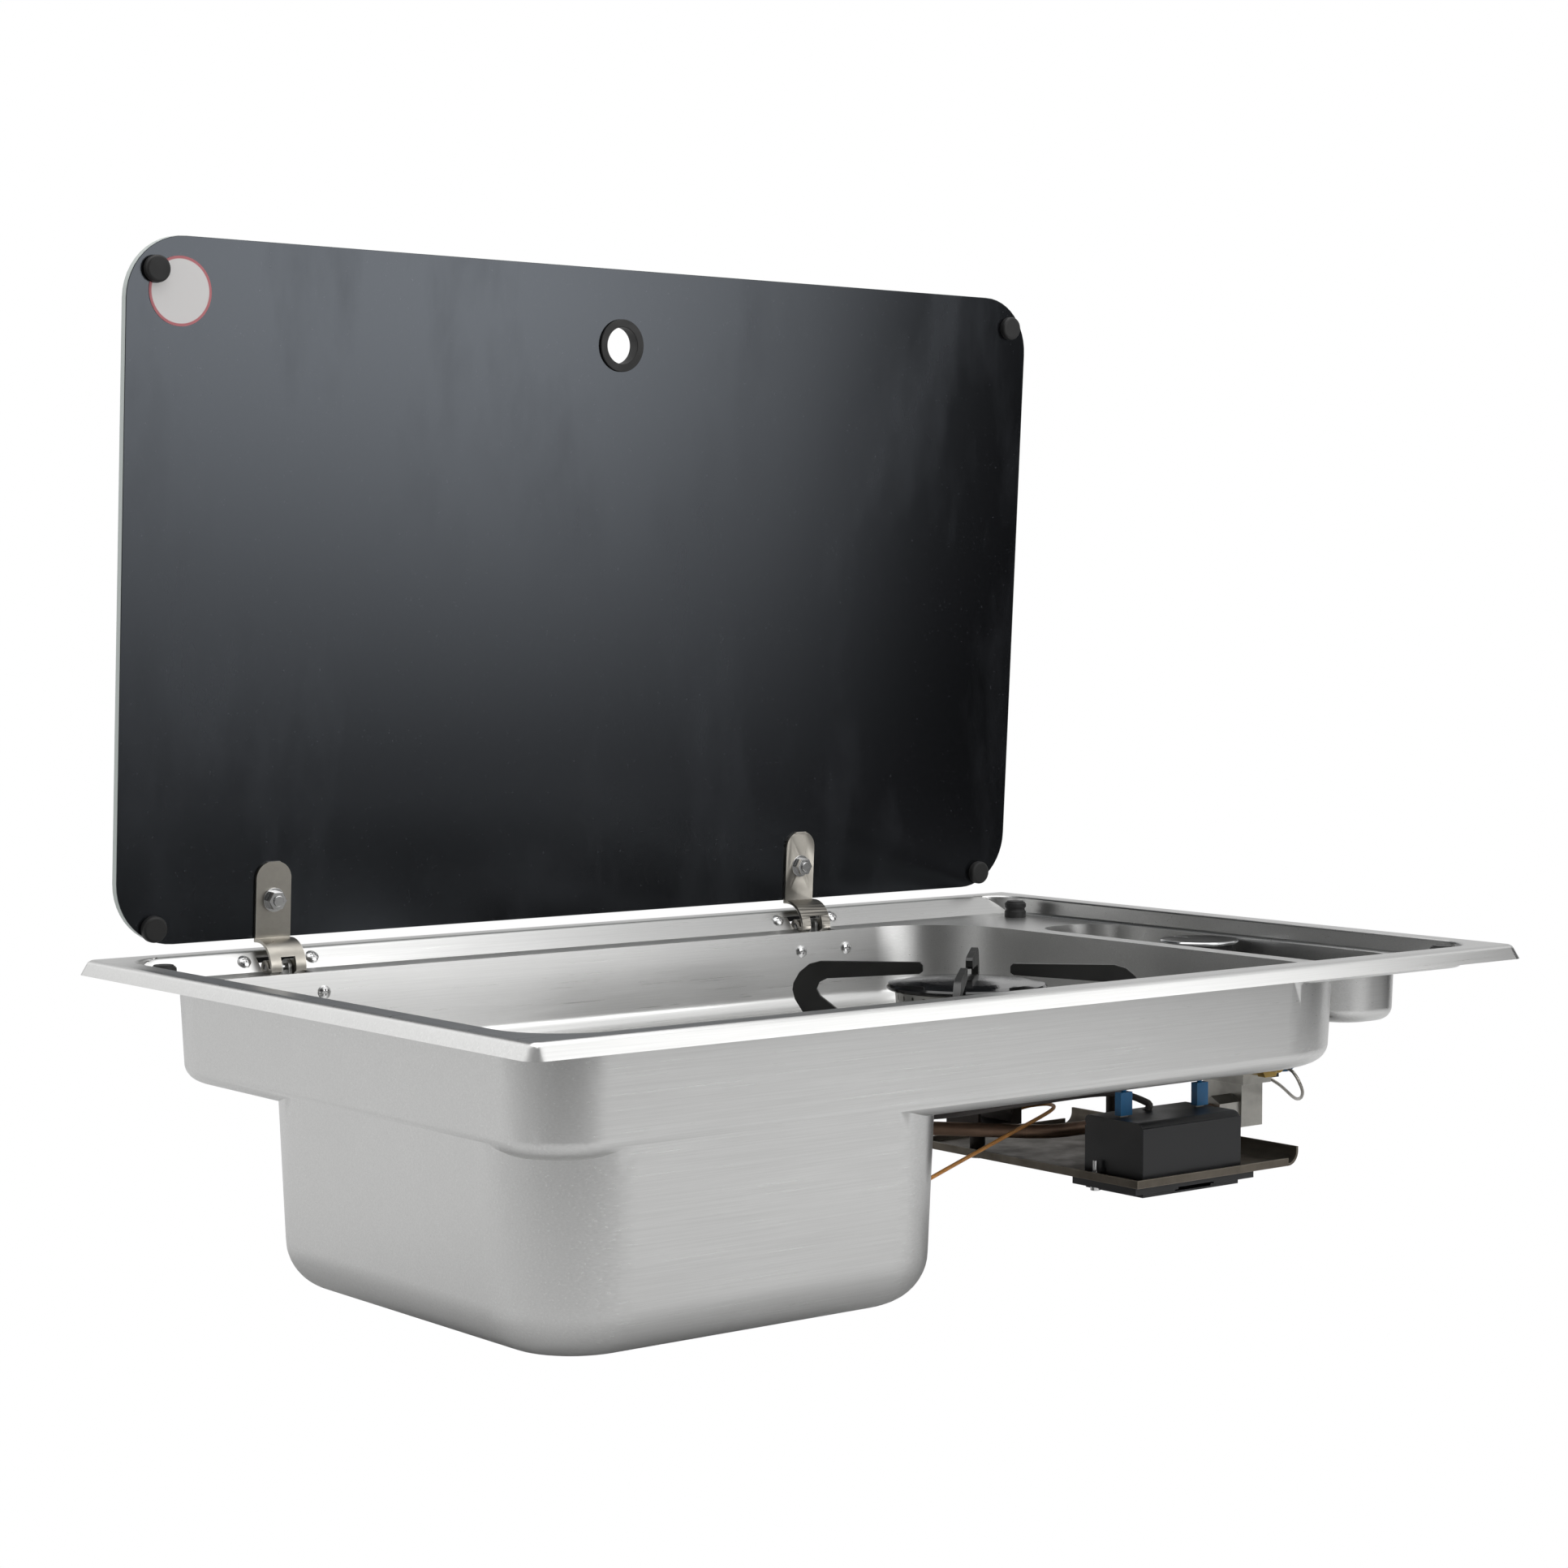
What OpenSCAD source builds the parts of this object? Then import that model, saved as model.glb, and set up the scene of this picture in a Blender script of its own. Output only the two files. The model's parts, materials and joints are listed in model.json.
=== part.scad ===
// Hob and sink combo with a hinged glass lid, for a worktop cut-out.
// Millimetres. x runs along the long side, +y is the hinged side, z = 0 is
// the worktop face that the edge of the rim stands on.
// Heights inside the modules count from the top of the rim.

/* [Rim and opening] */
// outside length of the rim
rim_l = 680; // [660:5:720]
// outside depth of the rim
rim_w = 440; // [430:2:470]
// height of the rim top above the worktop
rim_h = 8; // [7:0.5:10]
// run of the sloping lip
lip_out = 4.5; // [3:0.5:6]
// width of the flat on the rim
rim_flat = 13.5; // [12:0.5:16]
// thickness of the steel sheet
sheet = 0.8; // [0.7:0.1:1]

/* [Pressed recesses] */
// width of the right-hand shelf
shelf_w = 70; // [68:1:76]
// depth of the shelf and ledge
shelf_d = 12; // [11:0.5:14]
// width of the rear slope and ledge
rear_w = 23.4; // [22:0.2:25]
// depth of the hob floor
floor_d = 59; // [56:1:64]
// depth of the bowl
bowl_d = 155; // [130:5:170]
// length of the bowl at the top
bowl_l = 260; // [240:5:280]
// depth of the bowl from front to back
bowl_w = 275; // [255:5:290]
// depth of the knob pocket
pocket_d = 47; // [46:0.5:49]

/* [Lid] */
// length of the glass
lid_l = 648.5; // [630:2:660]
// height of the glass
lid_w = 384.7; // [370:1:390]
// thickness of the glass
glass = 5; // [4:0.5:6]
// radius of the glass corners
lid_r = 35; // [20:1:45]
// forward lean of the open lid in degrees
lean = 3.4; // [2:0.2:5]
// width of a hinge strap
strap_w = 22; // [20:0.5:24]
// thickness of a hinge strap
strap_t = 1.8; // [1.6:0.1:2]
// diameter of the hinge pin
pin_d = 4; // [3.5:0.1:4.4]
// radial play of the strap on its pin
pin_play = 0.08; // [0.05:0.01:0.1]
// diameter of the finger hole ring
ring_d = 31; // [28:1:34]

/* [Burner and pan support] */
// burner position along x
burner_x = 100.5; // [95:1:108]
// burner position along y
burner_y = -12.6; // [-18:0.2:-8]
// diameter of the burner cap
cap_d = 92; // [84:1:96]
// height of the cap rim above the hob floor
cap_h = 33; // [32:0.5:35]
// thickness of a support arm
arm_t = 4; // [3:0.5:5]
// play between parts that lift off and their seats
lift_play = 0.3; // [0.2:0.05:0.5]

/* [Knob and valve] */
// diameter of the knob disc
knob_d = 47.6; // [42:0.4:49]
// knob travel when pushed
push = 4; // [3:0.5:5]
// diameter of the valve stem
stem_d = 8; // [7:0.5:9]
// radial play of the stem in the valve
stem_play = 0.06; // [0.04:0.01:0.1]
// diameter of the gas pipe
gas_d = 8; // [8:0.5:10]

/* [Igniter] */
// length of the igniter box
box_l = 77; // [72:1:80]
// width of the igniter box
box_w = 46; // [42:1:48]
// height of the igniter box
box_h = 33; // [30:1:34]

/* [Hidden] */
$fn = 64;
eps = 0.5;
open_x = rim_l / 2 - lip_out - rim_flat;
open_y = rim_w / 2 - lip_out - rim_flat;
open_r = 24;
well_x1 = open_x - shelf_w;
well_y1 = open_y - rear_w;
well_draft = 3;
bowl_draft = 2.5;
slope_w = 11.5;
slope_d = shelf_d - 1;
bowl_x0 = -open_x + 3.4;
bowl_y0 = -open_y + 3.4;
bowl_cx = bowl_x0 + bowl_l / 2;
bowl_cy = bowl_y0 + bowl_w / 2;
pocket_x0 = open_x - 58;
pocket_y0 = -open_y + 50;
pocket_y1 = open_y - 90;
pivot_y = open_y - 10.1;
pivot_z = -9.3;
lid_y = open_y + 1.8;
lid_z = 6.25;
hinge_x = [-open_x + 94, open_x - 172];
slot_w = strap_w + 4;
tine_in = 4.6;
ear_out = 3.8;
bend_y = lid_y - 4.2;
bend_z = -9.5;
bend_r = 15.6;
screw_d = 4;
screw_play = 0.15;
up_screw_x = 21.5;
low_screw_x = 18;
low_screw_z = -23.5;
slope_a = atan2(slope_d, slope_w);
lid_bolt_d = 6;
lid_bolt_s = 21.5;
hole_s = 340;
buffer_t = 4.5;
buffer_d = 14.7;
buffer_side = 22.25;
buffer_top = lid_w - 18.7;
buffer_low = 9.4;
buffer_at = [[buffer_side - 5 - lid_l / 2, buffer_top], [lid_l / 2 - buffer_side + 7, buffer_top],
             [buffer_side - lid_l / 2, buffer_low], [lid_l / 2 - buffer_side, buffer_low]];
knob_x = open_x - 29;
knob_y = -9;
knob_top = -11;
floor_z = -floor_d;
under_z = -floor_d - sheet;
cup_r = 38.5;
cup_low = -84;
flange_t = 2.2;
cap_z = floor_z + cap_h;
screw_pcd = 91;
jet_z = -74.2;
plate_z = -124.5;
plate_t = 1.5;
plate_x0 = burner_x + 11.5;
plate_x1 = burner_x + 139.5;
plate_y0 = burner_y - 127.4;
plate_y1 = burner_y + 57.6;
box_x0 = plate_x0 + 8;
box_y0 = plate_y0 + 4;
fillet_play = 0.01;
blend = 0.05;
inlet_z = -109;
inlet_y = -45;
gas_x0 = burner_x + 49.5;
gas_bend = 30;
gas_run = 55;
gas_end_y = 165;
inlet_x = gas_x0 + gas_bend * cos(220) + gas_run * cos(130) + gas_bend * cos(40) - gas_bend;
sized_gas = 32;
valve_front = -58;
valve_low = -94;
bore_z = -81;
post_at = [burner_x + 25.5, burner_y + 18.6];
side_post = [burner_x + 126.5, burner_y + 10.1];
bolt_at = [[box_x0 - 3.2, box_y0 + 34], [box_x0 + box_l + 4.6, box_y0 + 16]];
waste_y = bowl_cy + 70;
seat_z = -77.2;
waste_r = 22.5;
spigot_d = 25;
spigot_z = -21.3;
sized_spigot = 26;
lead_d = 2.6;
spark_d = 4;

function lerp(a, b, t) = a + (b - a) * t;
function unit(v) = v / norm(v);
function curve_at(p, i, t) =
  let (n = len(p) - 1,
       a = p[max(i - 1, 0)], b = p[i], c = p[i + 1], d = p[min(i + 2, n)])
  0.5 * ((2 * b) + (c - a) * t + (2 * a - 5 * b + 4 * c - d) * t * t
         + (3 * b - a - 3 * c + d) * t * t * t);
function route(p, n) = concat(
  [for (i = [0 : len(p) - 2]) for (k = [0 : n - 1]) curve_at(p, i, k / n)],
  [p[len(p) - 1]]);
function heading(p, i) = unit(p[min(i + 1, len(p) - 1)] - p[max(i - 1, 0)]);

// round lead swept along a smooth route
module lead(points, r, steps = 8, sides = 10, up = [0.3, 0.2, 1]) {
  p = route(points, steps);
  n = len(p);
  rings = [for (i = [0 : n - 1])
    let (t = heading(p, i), s = unit(cross(t, up)), u = cross(s, t))
    for (k = [0 : sides - 1])
      p[i] + r * (cos(360 * k / sides) * s + sin(360 * k / sides) * u)];
  polyhedron(
    points = rings,
    faces = concat(
      [[for (k = [0 : sides - 1]) k]],
      [for (i = [0 : n - 2]) for (k = [0 : sides - 1]) for (h = [0, 1])
        h == 0 ? [i * sides + k, (i + 1) * sides + k, (i + 1) * sides + (k + 1) % sides]
               : [i * sides + k, (i + 1) * sides + (k + 1) % sides, i * sides + (k + 1) % sides]],
      [[for (k = [sides - 1 : -1 : 0]) (n - 1) * sides + k]]),
    convexity = 4);
}

module lift() {
  translate([0, 0, rim_h]) children();
}

// stands a flat profile drawn in y and z across x
module across(w) {
  rotate([90, 0, 90]) linear_extrude(height = w, center = true) children();
}

// stands a flat profile drawn in x and z across y, from y = 0 backwards to y = w
module through(w) {
  translate([0, w, 0]) rotate([90, 0, 0]) linear_extrude(height = w) children();
}

module round_rect(x0, x1, y0, y1, r) {
  translate([x0 + r, y0]) square([x1 - x0 - 2 * r, y1 - y0]);
  translate([x0, y0 + r]) square([x1 - x0, y1 - y0 - 2 * r]);
  for (x = [x0 + r, x1 - r], y = [y0 + r, y1 - r])
    translate([x, y]) circle(r);
}

// half section of a drafted wall: top radius rt, depth d, draft a, floor radius r
module wall_half(rt, d, a, r) {
  cx = rt - (d - r) * tan(a) - r / cos(a);
  union() {
    polygon([[0, 0], [0, -d], [cx, -d], [cx + r * cos(a), -d + r - r * sin(a)], [rt, 0]]);
    intersection() {
      translate([cx, -d + r]) circle(r + fillet_play);
      translate([cx, -d]) square([r + 1, 2 * r]);
    }
  }
}

module wall_run(len, rt, d, a, r) {
  rotate([90, 0, 0]) linear_extrude(height = len) wall_half(rt, d, a, r);
}

module wall_turn(rt, d, a, r) {
  rotate_extrude(angle = 90) wall_half(rt, d, a, r);
}

// pressed pan; radii run front-left, front-right, rear-right, rear-left,
// m is the width of the straight wall runs
module pan(x0, x1, y0, y1, radii, m, d, a, r) {
  a0 = [x0 + radii[0], y0 + radii[0]];
  a1 = [x1 - radii[1], y0 + radii[1]];
  a2 = [x1 - radii[2], y1 - radii[2]];
  a3 = [x0 + radii[3], y1 - radii[3]];
  translate([0, 0, -d]) linear_extrude(height = d)
    polygon([[a0[0], y0 + m], [a1[0], y0 + m], a1, [x1 - m, a1[1]],
             [x1 - m, a2[1]], a2, [a2[0], y1 - m], [a3[0], y1 - m],
             a3, [x0 + m, a3[1]], [x0 + m, a0[1]], a0]);
  translate([a1[0], y0 + m, 0]) rotate(-90) wall_run(a1[0] - a0[0], m, d, a, r);
  translate([x1 - m, a2[1], 0]) wall_run(a2[1] - a1[1], m, d, a, r);
  translate([a3[0], y1 - m, 0]) rotate(90) wall_run(a2[0] - a3[0], m, d, a, r);
  translate([x0 + m, a0[1], 0]) rotate(180) wall_run(a3[1] - a0[1], m, d, a, r);
  translate([a0[0], a0[1], 0]) rotate(180) wall_turn(radii[0], d, a, r);
  translate([a1[0], a1[1], 0]) rotate(270) wall_turn(radii[1], d, a, r);
  translate([a2[0], a2[1], 0]) wall_turn(radii[2], d, a, r);
  translate([a3[0], a3[1], 0]) rotate(90) wall_turn(radii[3], d, a, r);
}

// sloping lip and flat of the rim, g shrinks it all round for the hollow
module rim_block(g, z0, z1) {
  s = lip_out / rim_h;
  rt = 4 - g - z1 * s;
  rb = 4 - g - z0 * s;
  cx = open_x + rim_flat - 4;
  cy = open_y + rim_flat - 4;
  translate([-cx, -cy, z0]) cube([2 * cx, 2 * cy, z1 - z0]);
  for (q = [0 : 3]) {
    ex = q % 2 == 0 ? cx : cy;
    ey = q % 2 == 0 ? cy : cx;
    rotate(90 * q) translate([ex, ey, 0])
      rotate([90, 0, 0]) linear_extrude(height = 2 * ey)
        polygon([[0, z0], [rb, z0], [rt, z1], [0, z1]]);
    rotate(90 * q) translate([ex, ey, 0])
      rotate_extrude(angle = 90) polygon([[0, z0], [rb, z0], [rt, z1], [0, z1]]);
  }
}

// region under the rear slope, shifted by t for the outside of the sheet
module rear_limit(t) {
  across(2 * rim_l)
    polygon([[-rim_w, 5], [-rim_w, -shelf_d - 1.2 - t], [well_y1, -shelf_d - 1.2 - t],
             [open_y - slope_w + 0.4 * t, -slope_d - t],
             [open_y + 1.4 * t, 0], [open_y + 1.4 * t, 5]]);
}

// the shallow recess; it lies a blend inside the hob well where they share a wall
module upper_well(t) {
  intersection() {
    pan(blend - open_x - t, open_x + t, blend - open_y - t, open_y + t,
        [37 - blend + t, open_r + t, open_r + t, open_r + t], 18, shelf_d + t, well_draft, 3 + t);
    rear_limit(t);
  }
}

module hob_well(t) {
  pan(-open_x - t, well_x1 + t, -open_y - t, well_y1 + t,
      [37 + t, 88 + t, 60 + t, 58 + t], 24, floor_d + t, well_draft, 9 + t);
}

module bowl(t) {
  translate([0, 0, -floor_d + 12])
    pan(bowl_x0 - t, bowl_x0 + bowl_l + t, bowl_y0 - t, bowl_y0 + bowl_w + t,
        [52 + t, 52 + t, 52 + t, 52 + t], 40, bowl_d - floor_d + 12 + t, bowl_draft, 25 + t);
}

module knob_pocket(t) {
  pan(pocket_x0 - t, open_x - 1.2 + t, pocket_y0 - t, pocket_y1 + t,
      [24 + t, 24 + t, 24 + t, 24 + t], 20, pocket_d + t, 2, 7 + t);
}

module slope_screw_at(x) {
  translate([x, open_y - slope_w / 2, -slope_d / 2]) rotate([slope_a, 0, 0]) children();
}

module wall_screw_at(x) {
  translate([x, well_y1 - abs(low_screw_z) * tan(well_draft), low_screw_z])
    rotate([90 - well_draft, 0, 0]) children();
}

module at_burner(a = 0, r = 0) {
  translate([burner_x, burner_y, 0]) rotate(a) translate([r, 0, 0]) children();
}

module tray() color("silver") lift() difference() {
  union() {
    difference() {
      rim_block(0, -rim_h, 0);
      rim_block(1.1 * sheet, -rim_h - eps, -sheet);
    }
    upper_well(sheet);
    hob_well(sheet);
    bowl(sheet);
    knob_pocket(sheet);
  }
  upper_well(0);
  hob_well(0);
  bowl(0);
  knob_pocket(0);
  for (hx = hinge_x) {
    translate([hx - slot_w / 2, open_y - 22, -shelf_d - 6]) cube([slot_w, 19, shelf_d + 4]);
    for (s = [-1, 1]) {
      slope_screw_at(hx + s * up_screw_x)
        cylinder(d = screw_d + 2 * screw_play, h = 6, center = true);
      wall_screw_at(hx + s * low_screw_x)
        cylinder(d = screw_d + 2 * screw_play, h = 6, center = true);
    }
  }
  at_burner() translate([0, 0, under_z - 1]) cylinder(r = cup_r + 0.8, h = 4);
  for (a = [90, 210, 330]) at_burner(a, screw_pcd / 2)
    translate([0, 0, under_z - 1]) cylinder(d = screw_d + 2 * screw_play, h = 4);
  for (a = [30, 150]) at_burner(a, 45.5)
    translate([0, 0, under_z - 1]) cylinder(d = 7, h = 4);
  translate([knob_x, knob_y, -pocket_d - 3]) cylinder(d = stem_d + 4, h = 6);
  for (s = [-1, 1]) translate([knob_x, knob_y + s * 14, -pocket_d - 3])
    cylinder(d = screw_d + 2 * screw_play, h = 6);
  translate([bowl_cx, waste_y, -bowl_d - 3]) cylinder(r = waste_r + 0.5, h = 6);
}

module rim_seal() color("dimgray") difference() {
  translate([0, 0, 0]) linear_extrude(height = rim_h - sheet)
    round_rect(-open_x - 12, open_x + 12, -open_y - 12, open_y + 12, 4);
  translate([0, 0, -eps]) linear_extrude(height = rim_h + 1)
    round_rect(-open_x - 5, open_x + 5, -open_y - 5, open_y + 5, 3);
}

// small pan-head screw, head up, flange face at z = 0
module pan_screw(len) {
  intersection() {
    cylinder(d = 7.6, h = 2.4);
    translate([0, 0, -3.9]) sphere(d = 12.6);
  }
  translate([0, 0, -len]) cylinder(d = screw_d, h = len + 1);
}

module cross_cut() {
  for (a = [0, 90]) rotate(a) translate([-2, -0.4, 1.2]) cube([4, 0.8, 3]);
}

module hinge_screws() color("lightgray") lift()
  for (hx = hinge_x, s = [-1, 1]) {
    slope_screw_at(hx + s * up_screw_x) difference() {
      pan_screw(9);
      cross_cut();
    }
    wall_screw_at(hx + s * low_screw_x) difference() {
      pan_screw(6);
      cross_cut();
    }
  }

// side section of a hinge bracket wing behind the slope, ledge and wall
module bracket_wing() {
  y1 = well_y1 + sheet + 0.1;
  k = slope_d / slope_w;
  z1 = -shelf_d - 1.2 - sheet - 0.1;
  polygon([[y1 - 0.6, z1], [open_y - slope_w + 1.5, z1],
           [open_y - 0.5, -0.5 * k - 1.5 * sheet - 0.6],
           [open_y - 0.5, -10], [open_y - 12, -22],
           [open_y - 18, -34], [y1 - 1.7, -34]]);
}

module hinge_bracket(hx) {
  difference() {
    union() {
      for (s = [-1, 1])
        translate([hx + s * (slot_w / 2 + 7.5), 0, 0]) across(14) bracket_wing();
      across_plate(hx);
      for (s = [-1, 1])
        translate([hx + s * (ear_out - 1), 0, 0]) across(2) difference() {
          union() {
            translate([pivot_y, pivot_z]) circle(4.3);
            polygon([[pivot_y - 4.3, pivot_z], [pivot_y - 4.3, -18.5],
                     [well_y1 + 1.5, -23], [well_y1 + 1.5, -32],
                     [pivot_y - 2, -32], [pivot_y + 4.3, -22],
                     [pivot_y + 4.3, pivot_z]]);
          }
          translate([pivot_y, pivot_z]) circle(d = pin_d);
        }
    }
    for (s = [-1, 1]) {
      slope_screw_at(hx + s * up_screw_x)
        translate([0, 0, -12]) cylinder(d = screw_d + 0.1, h = 14);
      wall_screw_at(hx + s * low_screw_x)
        translate([0, 0, -12]) cylinder(d = screw_d + 0.1, h = 14);
    }
  }
}

// lower cross plate that joins the two wings and carries the ears
module across_plate(hx) {
  y1 = well_y1 + sheet + 0.1;
  translate([hx, 0, 0]) across(slot_w + 4)
    polygon([[y1 - 1.1, -22.5], [y1 + 1.4, -22.5], [y1 + 1.2, -34], [y1 - 1.7, -34]]);
}

module hinge_bracket_left() color("gray") lift() hinge_bracket(hinge_x[0]);
module hinge_bracket_right() color("gray") lift() hinge_bracket(hinge_x[1]);

module hinge_pins() color("lightgray") lift()
  for (hx = hinge_x) translate([hx, pivot_y, pivot_z]) rotate([0, 90, 0])
    cylinder(d = pin_d, h = strap_w - 1, center = true);

module on_lid() {
  translate([0, lid_y, lid_z]) rotate([lean, 0, 0]) children();
}

// gooseneck section from the tab foot to the pin
module strap_neck() {
  difference() {
    translate([bend_y, bend_z]) circle(bend_r);
    translate([bend_y, bend_z]) circle(bend_r - strap_t);
    translate([bend_y, bend_z - 40]) square([40, 80]);
    translate([bend_y - 40, bend_z - 40]) square([80, 40]);
  }
  translate([bend_y - 0.01, bend_z + bend_r - strap_t]) square([4.1, strap_t]);
}

module strap_foot() {
  difference() {
    union() {
      translate([pivot_y, pivot_z]) circle(4.2);
      x0 = bend_y - bend_r;
      polygon([[x0, bend_z + 0.01], [x0, bend_z - 1.6], [x0 + 3.4, bend_z - 3.6],
               [pivot_y, pivot_z - 4.2], [pivot_y, pivot_z + 1],
               [x0 + strap_t, bend_z + 0.01]]);
    }
    translate([pivot_y, pivot_z]) circle(d = pin_d + 2 * pin_play);
  }
}

module hinge_strap(hx) {
  translate([hx, 0, 0]) {
    difference() {
      across(strap_w) strap_neck();
      translate([-tine_in, bend_y - 20, bend_z - 1]) cube([2 * tine_in, 14.2, 7.5]);
    }
    for (s = [-1, 1])
      translate([s * (strap_w / 2 + tine_in) / 2, 0, 0])
        across(strap_w / 2 - tine_in) strap_foot();
  }
  on_lid() translate([hx, 0, 0]) difference() {
    translate([0, -strap_t, 0]) through(strap_t) {
      translate([-strap_w / 2, -0.15 - strap_t]) square([strap_w, 33.5 + strap_t]);
      translate([-strap_w / 2 + 7, 30]) square([strap_w - 14, 13]);
      for (s = [-1, 1]) translate([s * (strap_w / 2 - 9.7), 33.3]) circle(9.7);
    }
    translate([0, -4, lid_bolt_s]) rotate([-90, 0, 0]) cylinder(d = lid_bolt_d + 0.3, h = 8);
  }
}

module hinge_strap_left() color("darkgray") lift() hinge_strap(hinge_x[0]);
module hinge_strap_right() color("darkgray") lift() hinge_strap(hinge_x[1]);

module lid_glass() color([0.08, 0.08, 0.09]) lift() on_lid() difference() {
  through(glass) difference() {
    round_rect(-lid_l / 2, lid_l / 2, 0, lid_w, lid_r);
    translate([0, hole_s]) circle(d = ring_d - 5);
    for (hx = hinge_x) translate([hx, lid_bolt_s]) circle(d = lid_bolt_d + 3);
  }
}

module lid_ring() color("black") lift() on_lid() translate([0, 0, hole_s])
  rotate([-90, 0, 0]) rotate_extrude() difference() {
    union() {
      translate([ring_d / 2 - 4.7, -1.6]) square([4.7, 1.5]);
      translate([ring_d / 2 - 4.7, -1.6]) square([2.1, glass + 3.2]);
      translate([ring_d / 2 - 4.7, glass + 0.1]) square([4.7, 1.5]);
    }
  }

module lid_buffers() color("black") lift() on_lid()
  for (p = buffer_at)
    translate([p[0], 0, p[1]]) rotate([90, 0, 0]) {
      cylinder(d = buffer_d, h = buffer_t - 1);
      translate([0, 0, buffer_t - 1]) cylinder(d1 = buffer_d, d2 = buffer_d - 2, h = 1);
    }

module lid_label() color("white") lift() on_lid() difference() {
  translate([-292, 0, 355]) rotate([90, 0, 0]) cylinder(d = 37.6, h = 0.3);
  translate([buffer_at[0][0], 1, buffer_at[0][1]]) rotate([90, 0, 0])
    cylinder(d = buffer_d + 0.6, h = 2);
}

module lid_bolts() color("lightgray") lift() on_lid()
  for (hx = hinge_x) translate([hx, 0, lid_bolt_s]) rotate([-90, 0, 0]) difference() {
    union() {
      translate([0, 0, -8.2]) cylinder(d = lid_bolt_d, h = glass + 9.5);
      translate([0, 0, glass + 1.1]) intersection() {
        cylinder(d = 12.4, h = 3.4);
        translate([0, 0, -6.4]) sphere(d = 19.6);
      }
    }
    translate([0, 0, glass + 2.9]) cylinder(d = 4, h = 4, $fn = 6);
  }

module lid_washers() color("gray") lift() on_lid()
  for (hx = hinge_x) translate([hx, 0, lid_bolt_s]) rotate([-90, 0, 0]) {
    translate([0, 0, -strap_t - 1]) difference() {
      cylinder(d = 13.6, h = 1);
      translate([0, 0, -1]) cylinder(d = lid_bolt_d + 0.4, h = 3);
    }
    translate([0, 0, glass]) difference() {
      cylinder(d = 14, h = 1);
      translate([0, 0, -1]) cylinder(d = lid_bolt_d + 0.4, h = 3);
    }
  }

module lid_bushes() color("ivory") lift() on_lid()
  for (hx = hinge_x) translate([hx, 0, lid_bolt_s]) rotate([-90, 0, 0]) difference() {
    translate([0, 0, 0.1]) cylinder(d = lid_bolt_d + 2.8, h = glass - 0.2);
    translate([0, 0, -1]) cylinder(d = lid_bolt_d + 0.2, h = glass + 2);
  }

module lid_nuts() color("lightgray") lift() on_lid()
  for (hx = hinge_x) translate([hx, -strap_t - 1, lid_bolt_s]) rotate([90, 0, 0]) difference() {
    cylinder(d = 11.2, h = 4.4, $fn = 6);
    translate([0, 0, -1]) cylinder(d = lid_bolt_d + 0.05, h = 8);
  }

module rest_bumpers() color("black") lift() {
  top_z = pivot_z + (lid_y - pivot_y) * cos(lean) + (lid_z - pivot_z) * sin(lean)
          - buffer_t - 0.35;
  for (p = [[open_x - 15, open_y - 31, -shelf_d], [open_x - 14, 16 - open_y, -shelf_d],
            [13 - open_x, open_y - 24.5, -shelf_d]])
    translate([p[0], p[1], p[2]]) rotate_extrude() difference() {
      union() {
        square([7, top_z - p[2] - 1.5]);
        square([5.5, top_z - p[2]]);
        translate([0, top_z - p[2] - 2]) square([6.4, 1.2]);
      }
      translate([7.6, (top_z - p[2]) * 0.5]) circle(1.5);
    }
}

module burner_cup() color("silver") lift() at_burner() difference() {
  union() {
    translate([0, 0, floor_z]) cylinder(r = 51, h = flange_t);
    translate([0, 0, cup_low]) cylinder(r = cup_r, h = floor_z - cup_low + 1);
  }
  translate([0, 0, cup_low + 2.5]) cylinder(r = cup_r - 3, h = 60);
  translate([30, 0, jet_z]) rotate([0, 90, 0]) cylinder(r = 9.5, h = 20);
  for (a = [90, 210, 330]) rotate(a) translate([screw_pcd / 2, 0, floor_z - 1])
    cylinder(d = screw_d + 2 * screw_play, h = 5);
  for (a = [30, 150]) rotate(a) translate([45.5, 0, floor_z - 1]) cylinder(d = 4.6, h = 5);
  translate([0, 0, cup_low - 1]) cylinder(d = 6, h = 5);
}

module burner_clamp_ring() color("gray") lift() at_burner() difference() {
  translate([0, 0, under_z - 3]) cylinder(r = 52, h = 3);
  translate([0, 0, under_z - 4]) cylinder(r = cup_r + 0.8, h = 5);
  for (a = [90, 210, 330]) rotate(a) translate([screw_pcd / 2, 0, under_z - 4])
    cylinder(d = screw_d + 0.1, h = 5);
  for (a = [30, 150]) rotate(a) translate([45.5, 0, under_z - 4]) cylinder(d = 7, h = 5);
}

module burner_screws() color("lightgray") lift()
  for (a = [90, 210, 330]) at_burner(a, screw_pcd / 2)
    translate([0, 0, floor_z + flange_t]) difference() {
      pan_screw(flange_t + sheet + 3.6);
      cross_cut();
    }

module burner_head() color("goldenrod") lift() at_burner() difference() {
  union() {
    translate([0, 0, floor_z + flange_t + lift_play])
      cylinder(r1 = 39, r2 = 41, h = cap_h - flange_t - lift_play - 1);
    translate([0, 0, floor_z - 5]) cylinder(r = cup_r - 3 - lift_play, h = 12);
  }
  translate([0, 0, floor_z - 6]) cylinder(r = 31.5, h = 60);
  for (k = [0 : 29]) rotate(12 * k) translate([30, -0.8, cap_z - 6]) cube([14, 1.6, 3]);
}

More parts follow.
